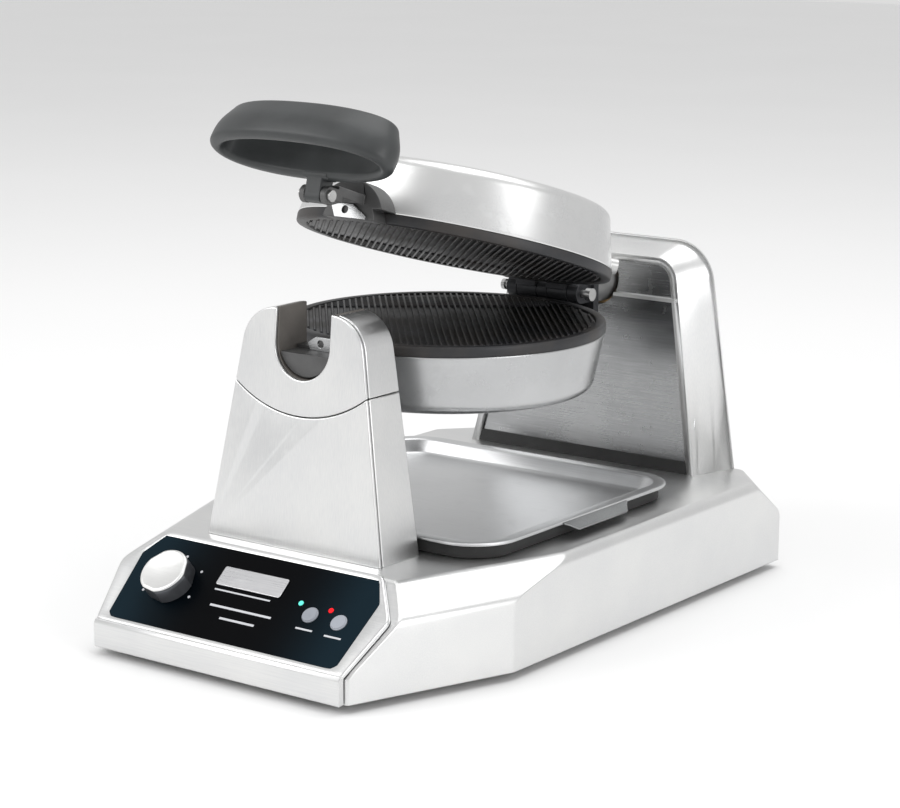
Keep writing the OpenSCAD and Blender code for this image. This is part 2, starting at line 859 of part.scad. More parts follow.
module push_button(p) {
  color("#7d828a") on_panel() translate([p[0], p[1], 0]) {
    translate([0, 0, -9]) cylinder(r = button_r, h = 9.6);
    translate([0, 0, 0.6]) cylinder(r = button_r - 0.6, h = 0.6);
    translate([0, 0, -12.9]) cylinder(r = 2.2, h = 4);
  }
}

module power_button() { push_button(button_at[0]); }

module timer_button() { push_button(button_at[1]); }

module drip_tray() {
  color("silver") translate([0, tray_y, deck_z + 0.3]) {
    difference() {
      linear_extrude(tray_h) polygon(round_rect(tray_w - 18, tray_d - 18, 24));
      translate([0, 0, tray_t]) linear_extrude(tray_h) polygon(round_rect(tray_w - 20, tray_d - 20, 23));
    }
    translate([0, 0, tray_h - tray_t]) linear_extrude(tray_t) difference() {
      polygon(round_rect(tray_w, tray_d, 31));
      polygon(round_rect(tray_w - 19, tray_d - 19, 23.5));
    }
    both() translate([tray_w / 2 - 1, -32 + 15, tray_h - 4]) {
      cube([7, 64, tray_t]);
      cube([tray_t, 64, 4 - tray_t / 2]);
    }
  }
}

base_housing();
bottom_plate();
feet();
foot_screws();
control_fascia();
panel_overlay();
badge_plate();
panel_marks();
power_lamp();
ready_lamp();
browning_control();
control_board();
switch_bodies();
relay();
terminal_block();
cord_gland();
rating_plate();
tower_front_lower();
tower_front_upper();
tower_wrap();
tower_cap();
neck_saddle();
saddle_pedestal();
rear_plate();
rear_cover();
bearing_pedestal();
bearing_bush();
turn_stop();
tower_screws();
lower_shell();
lower_plate();
lower_element();
lower_shield();
lower_sensor();
lower_screws();
lower_neck();
lower_latch();
hinge_yoke();
hub_shaft();
retaining_ring();
hinge_pin();
upper_shell();
upper_plate();
upper_element();
upper_shield();
upper_screws();
hinge_arm();
side_studs();
upper_neck();
upper_latch();
handle_pin();
handle_loop();
knob_skirt();
knob_cap();
power_button();
timer_button();
drip_tray();
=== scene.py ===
"""Rotary waffle cone maker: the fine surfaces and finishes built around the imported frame.

Sizes are in millimetres; every mesh is scaled to metres as it is made.
"""
import json
import logging
import math
from dataclasses import dataclass, field
from enum import Enum
from typing import Callable, Sequence

import bmesh
import bpy
import numpy as np
from mathutils import Matrix, Vector


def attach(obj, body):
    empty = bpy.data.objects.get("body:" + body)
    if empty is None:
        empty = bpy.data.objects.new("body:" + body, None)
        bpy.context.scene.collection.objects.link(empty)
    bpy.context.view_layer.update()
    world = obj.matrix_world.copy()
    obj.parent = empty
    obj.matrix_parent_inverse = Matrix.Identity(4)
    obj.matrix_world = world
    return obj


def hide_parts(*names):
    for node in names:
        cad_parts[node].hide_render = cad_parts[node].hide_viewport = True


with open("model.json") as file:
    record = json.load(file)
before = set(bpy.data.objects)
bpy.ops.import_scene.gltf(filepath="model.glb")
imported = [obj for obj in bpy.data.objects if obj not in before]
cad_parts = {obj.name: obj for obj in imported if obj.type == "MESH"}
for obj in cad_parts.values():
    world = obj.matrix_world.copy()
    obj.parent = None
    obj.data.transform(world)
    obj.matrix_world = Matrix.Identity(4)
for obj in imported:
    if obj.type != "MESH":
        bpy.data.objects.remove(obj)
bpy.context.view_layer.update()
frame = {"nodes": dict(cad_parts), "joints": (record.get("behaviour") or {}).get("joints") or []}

Colour = tuple[float, float, float]

log = logging.getLogger("waffle_maker")
MM = 0.001
ROUND_STEPS = 220
BEVEL_STEPS = 3
FRONT = -210.35
PANEL_SLOPE = 39.8
LIP_HALF, LIP_TOP = 93.2, 22.4
FOOT, DECK = 5.0, 64.0
SHEET_SET = 1.6
JOINTS = {j["name"]: j for j in frame["joints"]}


def joint_point(name: str) -> np.ndarray:
    """The point a hinge turns about, in millimetres."""
    return np.array(JOINTS[name]["pos_m"], float) / MM


HINGE = joint_point("lid_open")
HEAD = joint_point("head_turn")
AXIS_Z = float(HINGE[2])
LID_OPEN = math.radians(-JOINTS["lid_open"]["range_deg"][0])


# ---------------------------------------------------------------- outlines and placing


def rounded(corners: Sequence[Sequence[float]], radii: float | Sequence[float], steps: int = 6) -> np.ndarray:
    """A closed outline whose corners are swapped for arcs that touch both their sides.

    Args:
        corners: the outline's corners in order.
        radii: one radius, or one for each corner; each is cut down where a side is too short.
        steps: how many chords an arc has.

    Returns:
        The outline's points, steps + 1 for each corner.
    """
    p = np.asarray(corners, float)
    r = np.broadcast_to(np.asarray(radii, float), (len(p),))
    back, ahead = np.roll(p, 1, 0) - p, np.roll(p, -1, 0) - p
    back_len, ahead_len = np.linalg.norm(back, axis=1), np.linalg.norm(ahead, axis=1)
    u, v = back / back_len[:, None], ahead / ahead_len[:, None]
    half = 0.5 * np.arccos(np.clip((u * v).sum(1), -0.99999, 0.99999))
    reach = np.minimum(r / np.tan(half), 0.48 * np.minimum(back_len, ahead_len))
    r = reach * np.tan(half)
    middle = (u + v) / np.linalg.norm(u + v, axis=1)[:, None]
    centre = p + middle * (r / np.sin(half))[:, None]
    start, end = p + u * reach[:, None] - centre, p + v * reach[:, None] - centre
    a0 = np.arctan2(start[:, 1], start[:, 0])
    turn = np.arctan2(end[:, 1], end[:, 0]) - a0
    turn = (turn + np.pi) % (2 * np.pi) - np.pi
    a = a0[:, None] + turn[:, None] * np.linspace(0, 1, steps + 1)
    ring = centre[:, None, :] + r[:, None, None] * np.stack([np.cos(a), np.sin(a)], -1)
    return ring.reshape(-1, 2)


def both_sides(half: Sequence[Sequence[float]]) -> list[list[float]]:
    """A whole outline from its right half, given from bottom to top."""
    return [list(p) for p in half] + [[-p[0], p[1]] for p in reversed(half)]


def by_angle(outline: np.ndarray, centre: Sequence[float], count: int) -> np.ndarray:
    """The same outline with points at even angles about a centre, so that unlike outlines can be joined.

    Each even ray is met with the side of the outline that it crosses, so straight sides stay straight.
    """
    d = outline - np.asarray(centre, float)
    a = np.arctan2(d[:, 1], d[:, 0])
    order = np.argsort(a)
    even = np.linspace(-np.pi, np.pi, count, endpoint=False)
    a, d = np.concatenate([a[order] - 2 * np.pi, a[order], a[order] + 2 * np.pi]), d[order]
    along = np.tile(d, (3, 1))
    i = np.clip(np.searchsorted(a, even), 1, len(a) - 1)
    p, q = along[i - 1], along[i]
    ray = np.stack([np.cos(even), np.sin(even)], -1)
    side = q - p
    cross = side[:, 0] * ray[:, 1] - side[:, 1] * ray[:, 0]
    reach = (p[:, 1] * side[:, 0] - p[:, 0] * side[:, 1]) / np.where(np.abs(cross) < 1e-9, 1e-9, cross)
    return np.asarray(centre, float) + ray * reach[:, None]


def arc(centre: Sequence[float], radius: float, start: float, end: float, steps: int = 12) -> np.ndarray:
    """Points on a circle from one angle to another, in degrees."""
    a = np.radians(np.linspace(start, end, steps + 1))
    return np.asarray(centre, float) + radius * np.stack([np.cos(a), np.sin(a)], -1)


def opened(points: np.ndarray) -> np.ndarray:
    """Takes points given for the closed lid to where the lid stands open, by a turn about the hinge."""
    q = np.array(points, float)
    y, z = q[..., 1] - HINGE[1], q[..., 2] - HINGE[2]
    q[..., 1] = HINGE[1] + y * math.cos(LID_OPEN) + z * math.sin(LID_OPEN)
    q[..., 2] = HINGE[2] - y * math.sin(LID_OPEN) + z * math.cos(LID_OPEN)
    return q


def lowered(points: np.ndarray) -> np.ndarray:
    """Mirrors points in the level plane through the turning axis, from the lid's half to the lower half."""
    q = np.array(points, float)
    q[..., 2] = 2 * AXIS_Z - q[..., 2]
    return q


def flat(outline: np.ndarray, height: float) -> np.ndarray:
    """Gives an outline a height."""
    return np.column_stack([outline, np.full(len(outline), float(height))])


# ---------------------------------------------------------------- meshes


def finished(name: str, mesh: bpy.types.Mesh, sharp: float) -> bpy.types.Object:
    """Merges doubles, points the faces outwards, and keeps edges sharper than an angle crisp."""
    work = bmesh.new()
    work.from_mesh(mesh)
    bmesh.ops.remove_doubles(work, verts=work.verts, dist=1e-6)
    bmesh.ops.dissolve_degenerate(work, edges=work.edges, dist=1e-7)
    bmesh.ops.recalc_face_normals(work, faces=work.faces)
    work.to_mesh(mesh)
    work.free()
    mesh.shade_smooth()
    mesh.set_sharp_from_angle(angle=math.radians(sharp))
    obj = bpy.data.objects.new(name, mesh)
    bpy.context.scene.collection.objects.link(obj)
    return obj


def surface(name: str, grid: np.ndarray, ring: bool = True, loop: bool = False,
            caps: tuple[bool, bool] = (False, False), sharp: float = 35) -> bpy.types.Object:
    """A mesh of quads over a grid of points.

    Args:
        name: the piece's name.
        grid: points in millimetres, shaped rows x columns x 3.
        ring: whether each row closes on itself.
        loop: whether the last row joins the first.
        caps: whether the first and the last row are closed by a flat face.
        sharp: edges that turn by more than this many degrees stay crisp.

    Returns:
        The object, with its place in its mesh.
    """
    rows, cols = grid.shape[:2]
    i = np.arange(rows if loop else rows - 1)[:, None]
    j = np.arange(cols if ring else cols - 1)[None, :]
    i2, j2 = (i + 1) % rows, (j + 1) % cols
    quads = np.stack([i * cols + j, i * cols + j2, i2 * cols + j2, i2 * cols + j], -1).reshape(-1, 4).tolist()
    if caps[0]:
        quads.append(list(range(cols)))
    if caps[1]:
        quads.append([(rows - 1) * cols + k for k in range(cols)])
    mesh = bpy.data.meshes.new(name)
    mesh.from_pydata((grid.reshape(-1, 3) * MM).tolist(), [], quads)
    return finished(name, mesh, sharp)


def revolved(name: str, profile: np.ndarray, centre: np.ndarray, place: Callable) -> bpy.types.Object:
    """A profile of radius and height carried round an upright axis: x = r cos a, y = r sin a, z = height."""
    a = np.linspace(0, 2 * np.pi, ROUND_STEPS, endpoint=False)
    r, z = profile[:, 0][:, None], profile[:, 1][:, None]
    grid = np.stack([centre[0] + r * np.cos(a), centre[1] + r * np.sin(a), centre[2] + z + 0 * a], -1)
    return surface(name, place(grid))


def bars(name: str, boxes: np.ndarray) -> bpy.types.Object:
    """Many eight-cornered solids in one mesh.

    Args:
        name: the piece's name.
        boxes: points in millimetres, shaped count x 8 x 3, with the four low corners before the four high ones.

    Returns:
        The object.
    """
    faces = np.array([[3, 2, 1, 0], [4, 5, 6, 7], [0, 1, 5, 4], [1, 2, 6, 5], [2, 3, 7, 6], [3, 0, 4, 7]])
    index = (np.arange(len(boxes))[:, None, None] * 8 + faces).reshape(-1, 4)
    mesh = bpy.data.meshes.new(name)
    mesh.from_pydata((boxes.reshape(-1, 3) * MM).tolist(), [], index.tolist())
    return finished(name, mesh, 30)


def softened(node: str, width: float) -> bpy.types.Object:
    """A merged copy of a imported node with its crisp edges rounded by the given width."""
    mesh = frame["nodes"][node].data.copy()
    mesh.materials.clear()
    work = bmesh.new()
    work.from_mesh(mesh)
    bmesh.ops.remove_doubles(work, verts=work.verts, dist=2e-6)
    bmesh.ops.dissolve_limit(work, angle_limit=math.radians(1.5), verts=work.verts, edges=work.edges)
    work.to_mesh(mesh)
    work.free()
    mesh.normals_split_custom_set_from_vertices([(0, 0, 0)] * len(mesh.vertices))
    mesh.shade_smooth()
    mesh.set_sharp_from_angle(angle=math.radians(30))
    obj = bpy.data.objects.new(node + "_soft", mesh)
    bpy.context.scene.collection.objects.link(obj)
    edge = obj.modifiers.new("edges", "BEVEL")
    edge.width, edge.segments = width * MM, BEVEL_STEPS
    edge.limit_method, edge.angle_limit = "ANGLE", math.radians(35)
    return obj


def joined(pieces: Sequence[bpy.types.Object], name: str) -> bpy.types.Object:
    """Several meshes as one piece."""
    work = bmesh.new()
    for piece in pieces:
        work.from_mesh(piece.data)
    first = pieces[0]
    work.to_mesh(first.data)
    work.free()
    for piece in pieces[1:]:
        bpy.data.objects.remove(piece)
    first.name = name
    return first


# ---------------------------------------------------------------- shader helpers


class Num:
    """A socket that carries a number; arithmetic on it adds Math nodes."""

    def __init__(self, shade: "Shade", socket: bpy.types.NodeSocket) -> None:
        """Wraps a socket of a material being built."""
        self.shade, self.socket = shade, socket

    def _math(self, operation: str, *values: "Num | float") -> "Num":
        """One Math node over the given values."""
        node = self.shade.node("ShaderNodeMath", {"operation": operation}, *values)
        return Num(self.shade, node.outputs[0])

    def __add__(self, other: "Num | float") -> "Num":
        """self + other."""
        return self._math("ADD", self, other)

    def __radd__(self, other: float) -> "Num":
        """other + self."""
        return self._math("ADD", other, self)

    def __sub__(self, other: "Num | float") -> "Num":
        """self - other."""
        return self._math("SUBTRACT", self, other)

    def __rsub__(self, other: float) -> "Num":
        """other - self."""
        return self._math("SUBTRACT", other, self)

    def __mul__(self, other: "Num | float") -> "Num":
        """self * other."""
        return self._math("MULTIPLY", self, other)

    def __rmul__(self, other: float) -> "Num":
        """other * self."""
        return self._math("MULTIPLY", other, self)

    def above(self, edge: float, width: float) -> "Num":
        """0 below the edge and 1 above it, with a soft step of the given width."""
        node = self.shade.node("ShaderNodeMapRange", {"interpolation_type": "SMOOTHSTEP", "clamp": True},
                               self, edge - width / 2, edge + width / 2, 0.0, 1.0)
        return Num(self.shade, node.outputs[0])


class Shade:
    """A material being built from nodes."""

    def __init__(self, name: str) -> None:
        """Starts an empty material."""
        self.material = bpy.data.materials.new(name)
        self.material.use_nodes = True
        self.tree = self.material.node_tree
        self.tree.nodes.clear()
        self.coords = self.node("ShaderNodeTexCoord", {})

    def node(self, kind: str, settings: dict, *values: object, **named: object) -> bpy.types.Node:
        """Adds a node.

        Args:
            kind: the node's type.
            settings: its own settings, set first.
            values: values or links of its input sockets, in order.
            named: the same by socket name, with _ for a space.

        Returns:
            The node.
        """
        node = self.tree.nodes.new(kind)
        for key, value in settings.items():
            setattr(node, key, value)
        for socket, value in zip(node.inputs, values):
            self._feed(socket, value)
        for key, value in named.items():
            self._feed(node.inputs[key.replace("_", " ")], value)
        return node

    def _feed(self, socket: bpy.types.NodeSocket, value: object) -> None:
        """Links a socket, or sets its value."""
        if isinstance(value, Num):
            value = value.socket
        if isinstance(value, bpy.types.NodeSocket):
            self.tree.links.new(value, socket)
        else:
            socket.default_value = value

    def noise(self, size: float, detail: float, stretch: Sequence[float] = (1, 1, 1)) -> Num:
        """Noise over Object coordinates.

        Args:
            size: about how many millimetres its blotches are across.
            detail: how many finer layers it has.
            stretch: a share below 1 draws the blotches out along that axis.

        Returns:
            The noise, from 0 to 1.
        """
        place = self.node("ShaderNodeMapping", {}, self.coords.outputs["Object"],
                          Scale=[share / (size * MM) for share in stretch])
        node = self.node("ShaderNodeTexNoise", {}, place.outputs[0], Scale=1.0, Detail=detail)
        return Num(self, node.outputs[0])

    def mix(self, share: Num, low: Colour, high: Colour) -> bpy.types.NodeSocket:
        """A colour between two. The Mix node's own sockets for its colours are found by their kind."""
        node = self.node("ShaderNodeMix", {"data_type": "RGBA"}, share)
        first, second = (socket for socket in node.inputs if socket.type == "RGBA")
        self._feed(first, (*low, 1))
        self._feed(second, (*high, 1))
        return next(socket for socket in node.outputs if socket.type == "RGBA")

    def bump(self, height: Num, strength: float, distance: float) -> bpy.types.NodeSocket:
        """Normals from a height, with the distance in millimetres."""
        node = self.node("ShaderNodeBump", {}, Strength=strength, Distance=distance * MM, Height=height)
        return node.outputs[0]

    def principled(self, **sockets: object) -> bpy.types.Material:
        """Ends the material in one Principled shader."""
        shader = self.node("ShaderNodeBsdfPrincipled", {}, **sockets)
        self.node("ShaderNodeOutputMaterial", {}, shader.outputs[0])
        return self.material


@dataclass(frozen=True)
class BrushedSteel:
    """Stainless sheet with fine brush lines along one axis, cloudy roughness and faint handling marks."""

    name: str
    tint: Colour = (0.80, 0.80, 0.79)
    shade: Colour = (0.70, 0.705, 0.71)
    rough: float = 0.34
    grain: tuple[float, float, float] = (0.02, 1.0, 1.0)
    grain_depth: float = 0.02
    metal: float = 1.0

    def build(self) -> bpy.types.Material:
        """Colour and roughness follow stretched noise; a little of it also bumps the surface."""
        s = Shade(self.name)
        lines = s.noise(0.5, 2, self.grain)
        cloud = s.noise(55, 4)
        marks = s.noise(9, 5).above(0.64, 0.12)
        share = lines * 0.45 + cloud * 0.55
        return s.principled(Base_Color=s.mix(share.above(0.5, 0.5), self.shade, self.tint),
                            Metallic=self.metal,
                            Roughness=self.rough + (lines - 0.5) * 0.10 + (cloud - 0.5) * 0.16 + marks * 0.05,
                            Normal=s.bump(lines, 0.25, self.grain_depth))


@dataclass(frozen=True)
class Moulded:
    """Moulded plastic or painted casting: fine grain, uneven gloss and rubbed high spots."""

    name: str
    tint: Colour
    rough: float = 0.5
    grain_size: float = 0.6
    grain_depth: float = 0.03
    mottle: float = 0.25
    metal: float = 0.0
    coat: float = 0.0

    def build(self) -> bpy.types.Material:
        """Base colour is mottled by large noise, and fine noise gives the grain."""
        s = Shade(self.name)
        cloud, grain = s.noise(24, 4), s.noise(self.grain_size, 2)
        dark = tuple(c * (1 - self.mottle) for c in self.tint)
        light = tuple(min(1.0, c * (1 + self.mottle)) for c in self.tint)
        return s.principled(Base_Color=s.mix(cloud.above(0.5, 0.6), dark, light),
                            Metallic=self.metal, Coat_Weight=self.coat, Coat_Roughness=0.12,
                            Roughness=self.rough + (cloud - 0.5) * 0.2 + (grain - 0.5) * 0.12,
                            Normal=s.bump(grain, 0.5, self.grain_depth))


@dataclass(frozen=True)
class Film:
    """The panel's printed film: blue-black, with faint wipe marks and a teal cast near its ends."""

    name: str = "panel_film"
    ink: Colour = (0.0008, 0.001, 0.0016)
    cast: Colour = (0.006, 0.016, 0.024)
    half_width: float = 90.0

    def build(self) -> bpy.types.Material:
        """The cast grows with the distance from the panel's middle."""
        s = Shade(self.name)
        parts = s.node("ShaderNodeSeparateXYZ", {}, s.coords.outputs["Object"])
        x = Num(s, parts.outputs[0])
        ends = (x * x * (1 / (self.half_width * MM) ** 2)).above(0.42, 0.8)
        wipe = s.noise(14, 4, (0.4, 1, 1))
        return s.principled(Base_Color=s.mix(ends, self.ink, self.cast),
                            Roughness=0.36 + (wipe - 0.5) * 0.14, Specular_IOR_Level=0.04,
                            Normal=s.bump(s.noise(0.7, 2), 0.15, 0.01))


@dataclass(frozen=True)
class Baked:
    """Non-stick plate casting: charcoal, finely pitted, with a bloom of baked-on oil."""

    name: str = "baking_black"
    tint: Colour = (0.028, 0.029, 0.032)
    bloom: Colour = (0.052, 0.047, 0.044)
    rough: float = 0.42

    def build(self) -> bpy.types.Material:
        """Oil bloom lifts the colour and lowers the gloss in patches."""
        s = Shade(self.name)
        oil, pits = s.noise(30, 5), s.noise(0.8, 3)
        patch = oil.above(0.52, 0.35)
        return s.principled(Base_Color=s.mix(patch, self.tint, self.bloom), Metallic=0.35,
                            Roughness=self.rough + patch * 0.12 + (pits - 0.5) * 0.16,
                            Normal=s.bump(pits, 0.4, 0.04))


@dataclass(frozen=True)
class Lens:
    """A small lamp lens that glows a little."""

    name: str
    tint: Colour
    glow: float = 0.9

    def build(self) -> bpy.types.Material:
        """Brightness varies slightly through the lens."""
        s = Shade(self.name)
        core = s.noise(1.2, 2)
        deep = tuple(c * 0.7 for c in self.tint)
        return s.principled(Base_Color=s.mix(core.above(0.5, 0.6), self.tint, deep), Roughness=0.3,
                            Specular_IOR_Level=0.1, Emission_Color=(*self.tint, 1), Emission_Strength=self.glow)


class Finish(Enum):
    """Every finish on the machine."""

    SATIN = BrushedSteel("satin_steel")
    SATIN_UP = BrushedSteel("satin_steel_upright", grain=(1.0, 1.0, 0.02))
    SPUN = BrushedSteel("spun_steel", grain=(1.0, 1.0, 12.0), rough=0.3)
    # A darker copy of the spun steel for the lower shell, which is the same metal as the upper one: painted
    # shade and painted dark reflection.
    SPUN_LOW = BrushedSteel("spun_steel_low", tint=(0.58, 0.585, 0.59), shade=(0.46, 0.465, 0.47),
                            grain=(1.0, 1.0, 12.0), rough=0.28)
    TRAY = BrushedSteel("tray_steel", tint=(0.70, 0.705, 0.71), shade=(0.58, 0.585, 0.59), rough=0.36,
                        grain_depth=0.008)
    # A darker copy of the polished steel for the rear plate and the latches: painted dark reflection.
    REAR = BrushedSteel("rear_steel", tint=(0.50, 0.505, 0.51), shade=(0.34, 0.345, 0.35), rough=0.26,
                        grain_depth=0.008)
    # A darker copy of the tray's steel for the down-turned tabs: painted shade.
    DULL = BrushedSteel("dull_steel", tint=(0.34, 0.35, 0.35), shade=(0.24, 0.245, 0.25), rough=0.4)
    POLISHED = BrushedSteel("polished_steel", tint=(0.66, 0.67, 0.68), shade=(0.52, 0.53, 0.54), rough=0.2,
                            grain_depth=0.008)
    PLAIN = BrushedSteel("plain_steel", tint=(0.62, 0.62, 0.61), shade=(0.48, 0.48, 0.48), rough=0.36)
    BADGE = BrushedSteel("badge", tint=(0.72, 0.72, 0.73), shade=(0.55, 0.55, 0.57), rough=0.28)
    KNOB_FACE = BrushedSteel("knob_face", tint=(0.92, 0.92, 0.91), shade=(0.84, 0.84, 0.83), rough=0.4)
    BRONZE = BrushedSteel("bronze", tint=(0.55, 0.38, 0.2), shade=(0.4, 0.26, 0.13), rough=0.4)
    ELEMENT = BrushedSteel("element", tint=(0.3, 0.22, 0.17), shade=(0.16, 0.12, 0.1), rough=0.5)
    HANDLE = Moulded("dark_plastic", (0.036, 0.039, 0.040), rough=0.45, coat=0.05)
    # The neck saddle's dark grey-brown is partly painted shade: it stands for the shaded wall of the notch.
    SADDLE = Moulded("saddle_grey", (0.13, 0.12, 0.11), rough=0.55)
    # Black for the rubber feet; the same black also serves as painted shadow for the tray's dark band and the
    # strip at the rear plate's foot.
    RUBBER = Moulded("rubber", (0.03, 0.03, 0.03), rough=0.8)
    PALE = Moulded("pale_plastic", (0.75, 0.72, 0.64), rough=0.5)
    BOARD = Moulded("board_green", (0.02, 0.16, 0.06), rough=0.45)
    CAST = Moulded("cast_grey", (0.12, 0.12, 0.12), rough=0.5, grain_size=0.9, grain_depth=0.12, metal=0.7)
    CAST_DARK = Moulded("cast_dark", (0.045, 0.046, 0.05), rough=0.45, grain_size=0.9, grain_depth=0.1,
                        metal=0.6)
    KNOB_SIDE = Moulded("knob_side", (0.10, 0.105, 0.115), rough=0.35, metal=0.6)
    BUTTON = Moulded("button_grey", (0.30, 0.32, 0.36), rough=0.45)
    PRINT = Moulded("print", (0.62, 0.63, 0.66), rough=0.55, mottle=0.1)
    FILM = Film()
    BAKED = Baked()
    GREEN = Lens("green_lens", (0.10, 0.62, 0.50))
    RED = Lens("red_lens", (0.75, 0.01, 0.015))

    def material(self) -> bpy.types.Material:
        """The finish's material, built once."""
        return bpy.data.materials.get("mat_" + self.value.name) or self._make()

    def _make(self) -> bpy.types.Material:
        """Builds the material under its own name."""
        material = self.value.build()
        material.name = "mat_" + self.value.name
        return material


NODE_FINISH = {
    Finish.SATIN: ["base_housing", "control_fascia", "tower_front_lower", "tower_front_upper", "tower_wrap",
                   "tower_cap", "rear_cover"],
    Finish.SPUN: ["upper_shell"],
    # The lower shell takes the darker copy of the spun steel: painted shade and dark reflection.
    Finish.SPUN_LOW: ["lower_shell"],
    # The rear plate takes the darker copy of the polished steel: painted dark reflection.
    Finish.REAR: ["rear_plate"],
    Finish.POLISHED: ["drip_tray", "lower_latch", "upper_latch"],
    Finish.PLAIN: ["bottom_plate", "foot_screws", "rating_plate", "turn_stop", "tower_screws", "lower_screws",
                   "upper_screws", "lower_shield", "upper_shield", "lower_sensor", "hub_shaft", "retaining_ring",
                   "hinge_pin", "side_studs", "handle_pin", "saddle_pedestal", "bearing_pedestal"],
    Finish.RUBBER: ["feet"],
    Finish.FILM: ["panel_overlay"],
    Finish.BADGE: ["badge_plate"],
    Finish.PRINT: ["panel_marks"],
    Finish.GREEN: ["power_lamp"],
    Finish.RED: ["ready_lamp"],
    Finish.HANDLE: ["browning_control", "switch_bodies", "relay", "cord_gland", "handle_loop"],
    # The neck saddle's dark grey is partly painted shade of its notch.
    Finish.SADDLE: ["neck_saddle"],
    Finish.PALE: ["terminal_block"],
    Finish.BOARD: ["control_board"],
    Finish.BRONZE: ["bearing_bush"],
    Finish.ELEMENT: ["lower_element", "upper_element"],
    Finish.BAKED: ["lower_plate", "upper_plate"],
    Finish.CAST: ["lower_neck", "upper_neck"],
    Finish.CAST_DARK: ["hinge_yoke", "hinge_arm"],
    Finish.KNOB_SIDE: ["knob_skirt"],
    Finish.KNOB_FACE: ["knob_cap"],
    Finish.BUTTON: ["power_button", "timer_button"],
}


def finish_nodes() -> None:
    """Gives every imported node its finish."""
    for finish, nodes in NODE_FINISH.items():
        for name in nodes:
            mesh = frame["nodes"][name].data
            mesh.materials.clear()
            mesh.materials.append(finish.material())


# ---------------------------------------------------------------- sub-assemblies


@dataclass(frozen=True)
class Dressing:
    """What a new piece wears and what it stands for."""

    obj: bpy.types.Object
    finish: Finish
    body: str
    slot: str
    nodes: tuple[str, ...]


@dataclass
class Assembly:
    """A group of pieces that is built and then dressed."""

    pieces: list[Dressing] = field(default_factory=list, init=False)

    def add(self, obj: bpy.types.Object, finish: Finish, body: str, slot: str, *nodes: str) -> None:
        """Notes a piece with its finish, its body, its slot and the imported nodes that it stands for."""
        self.pieces.append(Dressing(obj, finish, body, slot, nodes))

    def build(self) -> None:
        """Makes the meshes; each sub-assembly has its own."""
        raise NotImplementedError

    def dress(self) -> None:
        """Gives every piece its finish and its place in the machine."""
        for p in self.pieces:
            p.obj.data.materials.clear()
            p.obj.data.materials.append(p.finish.material())
            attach(p.obj, p.body)
            if p.nodes:
                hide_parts(*p.nodes)
            log.info("%s rides on %s", p.obj.name, p.body)


@dataclass
class BaseBody(Assembly):
    """The sheet-metal body: straight walls, cut front corners with sloping facets, slanted rear corners."""

    half_width: float = 133.7
    front: float = FRONT
    back: float = 210.35
    lip_half: float = LIP_HALF
    corner_run: float = 111.0
    low: float = FOOT
    deck: float = DECK
    lip_top: float = LIP_TOP
    slope: float = PANEL_SLOPE
    facet_z: float = 48.6
    facet_slope: float = 33.4
    rear_cut: float = 35.7
    rear_lean: float = 47.4
    rear_turn: float = 41.6
    side_round: float = 6.5
    wall: float = 1.6
    facet_blend: float = 2.5
    edge_round: float = 1.4
    panel_drop: float = 3.6

    def heights(self) -> np.ndarray:
        """Heights of the rings, closer together where the surface bends."""
        shoulder = self.deck - self.side_round
        return np.concatenate([[self.low, self.low + 0.6], np.linspace(8, 44, 10), np.linspace(45, 53, 12),
                               np.linspace(54, shoulder, 5),
                               shoulder + self.side_round * np.sin(np.radians(np.linspace(8, 84, 12))),
                               [self.deck]])

    def facet(self, z: float) -> float:
        """How far the cut corner's facet leans in: nothing below its foot, a straight slope above it."""
        rise = z - self.facet_z
        return 0.5 * (rise + math.hypot(rise, self.facet_blend)) / math.tan(math.radians(self.facet_slope))

    def ring(self, z: float) -> np.ndarray:
        """The outline at one height: eight straight sides, each moved in by its own amount, then rounded.

        Args:
            z: the height.

        Returns:
            The outline, from the same number of points at every height.
        """
        over = max(0.0, z - (self.deck - self.side_round))
        curl = self.side_round - math.sqrt(max(0.0, self.side_round ** 2 - over ** 2))
        edge = SHEET_SET * max(0.0, (z - self.deck + self.edge_round) / self.edge_round) ** 2
        facet = self.facet(z) - self.facet(self.low)
        slope = math.radians(self.slope)
        drop = self.panel_drop / math.cos(slope)
        behind_lip = self.front + SHEET_SET + self.panel_drop
        front = max(behind_lip, self.front + SHEET_SET + (z - self.lip_top + drop) / math.tan(slope))
        turn = math.atan2(self.half_width - self.lip_half, self.corner_run)
        rear = math.radians(90 - self.rear_turn)
        cut = (self.deck - z) / math.tan(math.radians(self.rear_lean))
        half, lip = self.half_width, self.lip_half
        # each side is kept as a point on it and its outward direction
        sides = [((0, front + edge), (0, -1)),
                 ((lip, self.front), (math.cos(turn), -math.sin(turn)), facet + edge),
                 ((half - curl, 0), (1, 0)),
                 ((half, self.back - self.rear_cut), (math.sin(rear), math.cos(rear)), edge - cut),
                 ((0, self.back - curl), (0, 1))]
        lines = []
        for side in sides:
            n = np.array(side[1], float)
            inset = side[2] if len(side) > 2 else 0.0
            lines.append((n, float(n @ np.array(side[0], float)) - inset))
        # the slanted rear corner never shrinks below a short side
        short = 3.5
        rear_side, reach = lines[3]
        corner = np.array([half - curl - short, self.back - curl])
        corner_most = float(rear_side @ corner) + short * rear_side[1]
        lines[3] = (rear_side, min(reach, corner_most))
        points = [np.linalg.solve(np.array([a[0], b[0]]), np.array([a[1], b[1]]))
                  for a, b in zip(lines, lines[1:])]
        outline = both_sides(points)
        radii = [3.0, 9.0, 5.0, 4.0]
        return flat(rounded(outline, radii + radii[::-1], 6), z)

    def build(self) -> None:
        """Rings of the outline from the foot up, capped by the deck and given the sheet's thickness."""
        rings = np.stack([self.ring(float(z)) for z in self.heights()])
        body = surface("base_body", rings, caps=(False, True), sharp=24)
        sheet = body.modifiers.new("sheet", "SOLIDIFY")
        sheet.thickness, sheet.offset = self.wall * MM, -1
        self.add(body, Finish.SATIN, "base", "satin_steel", "base_housing")


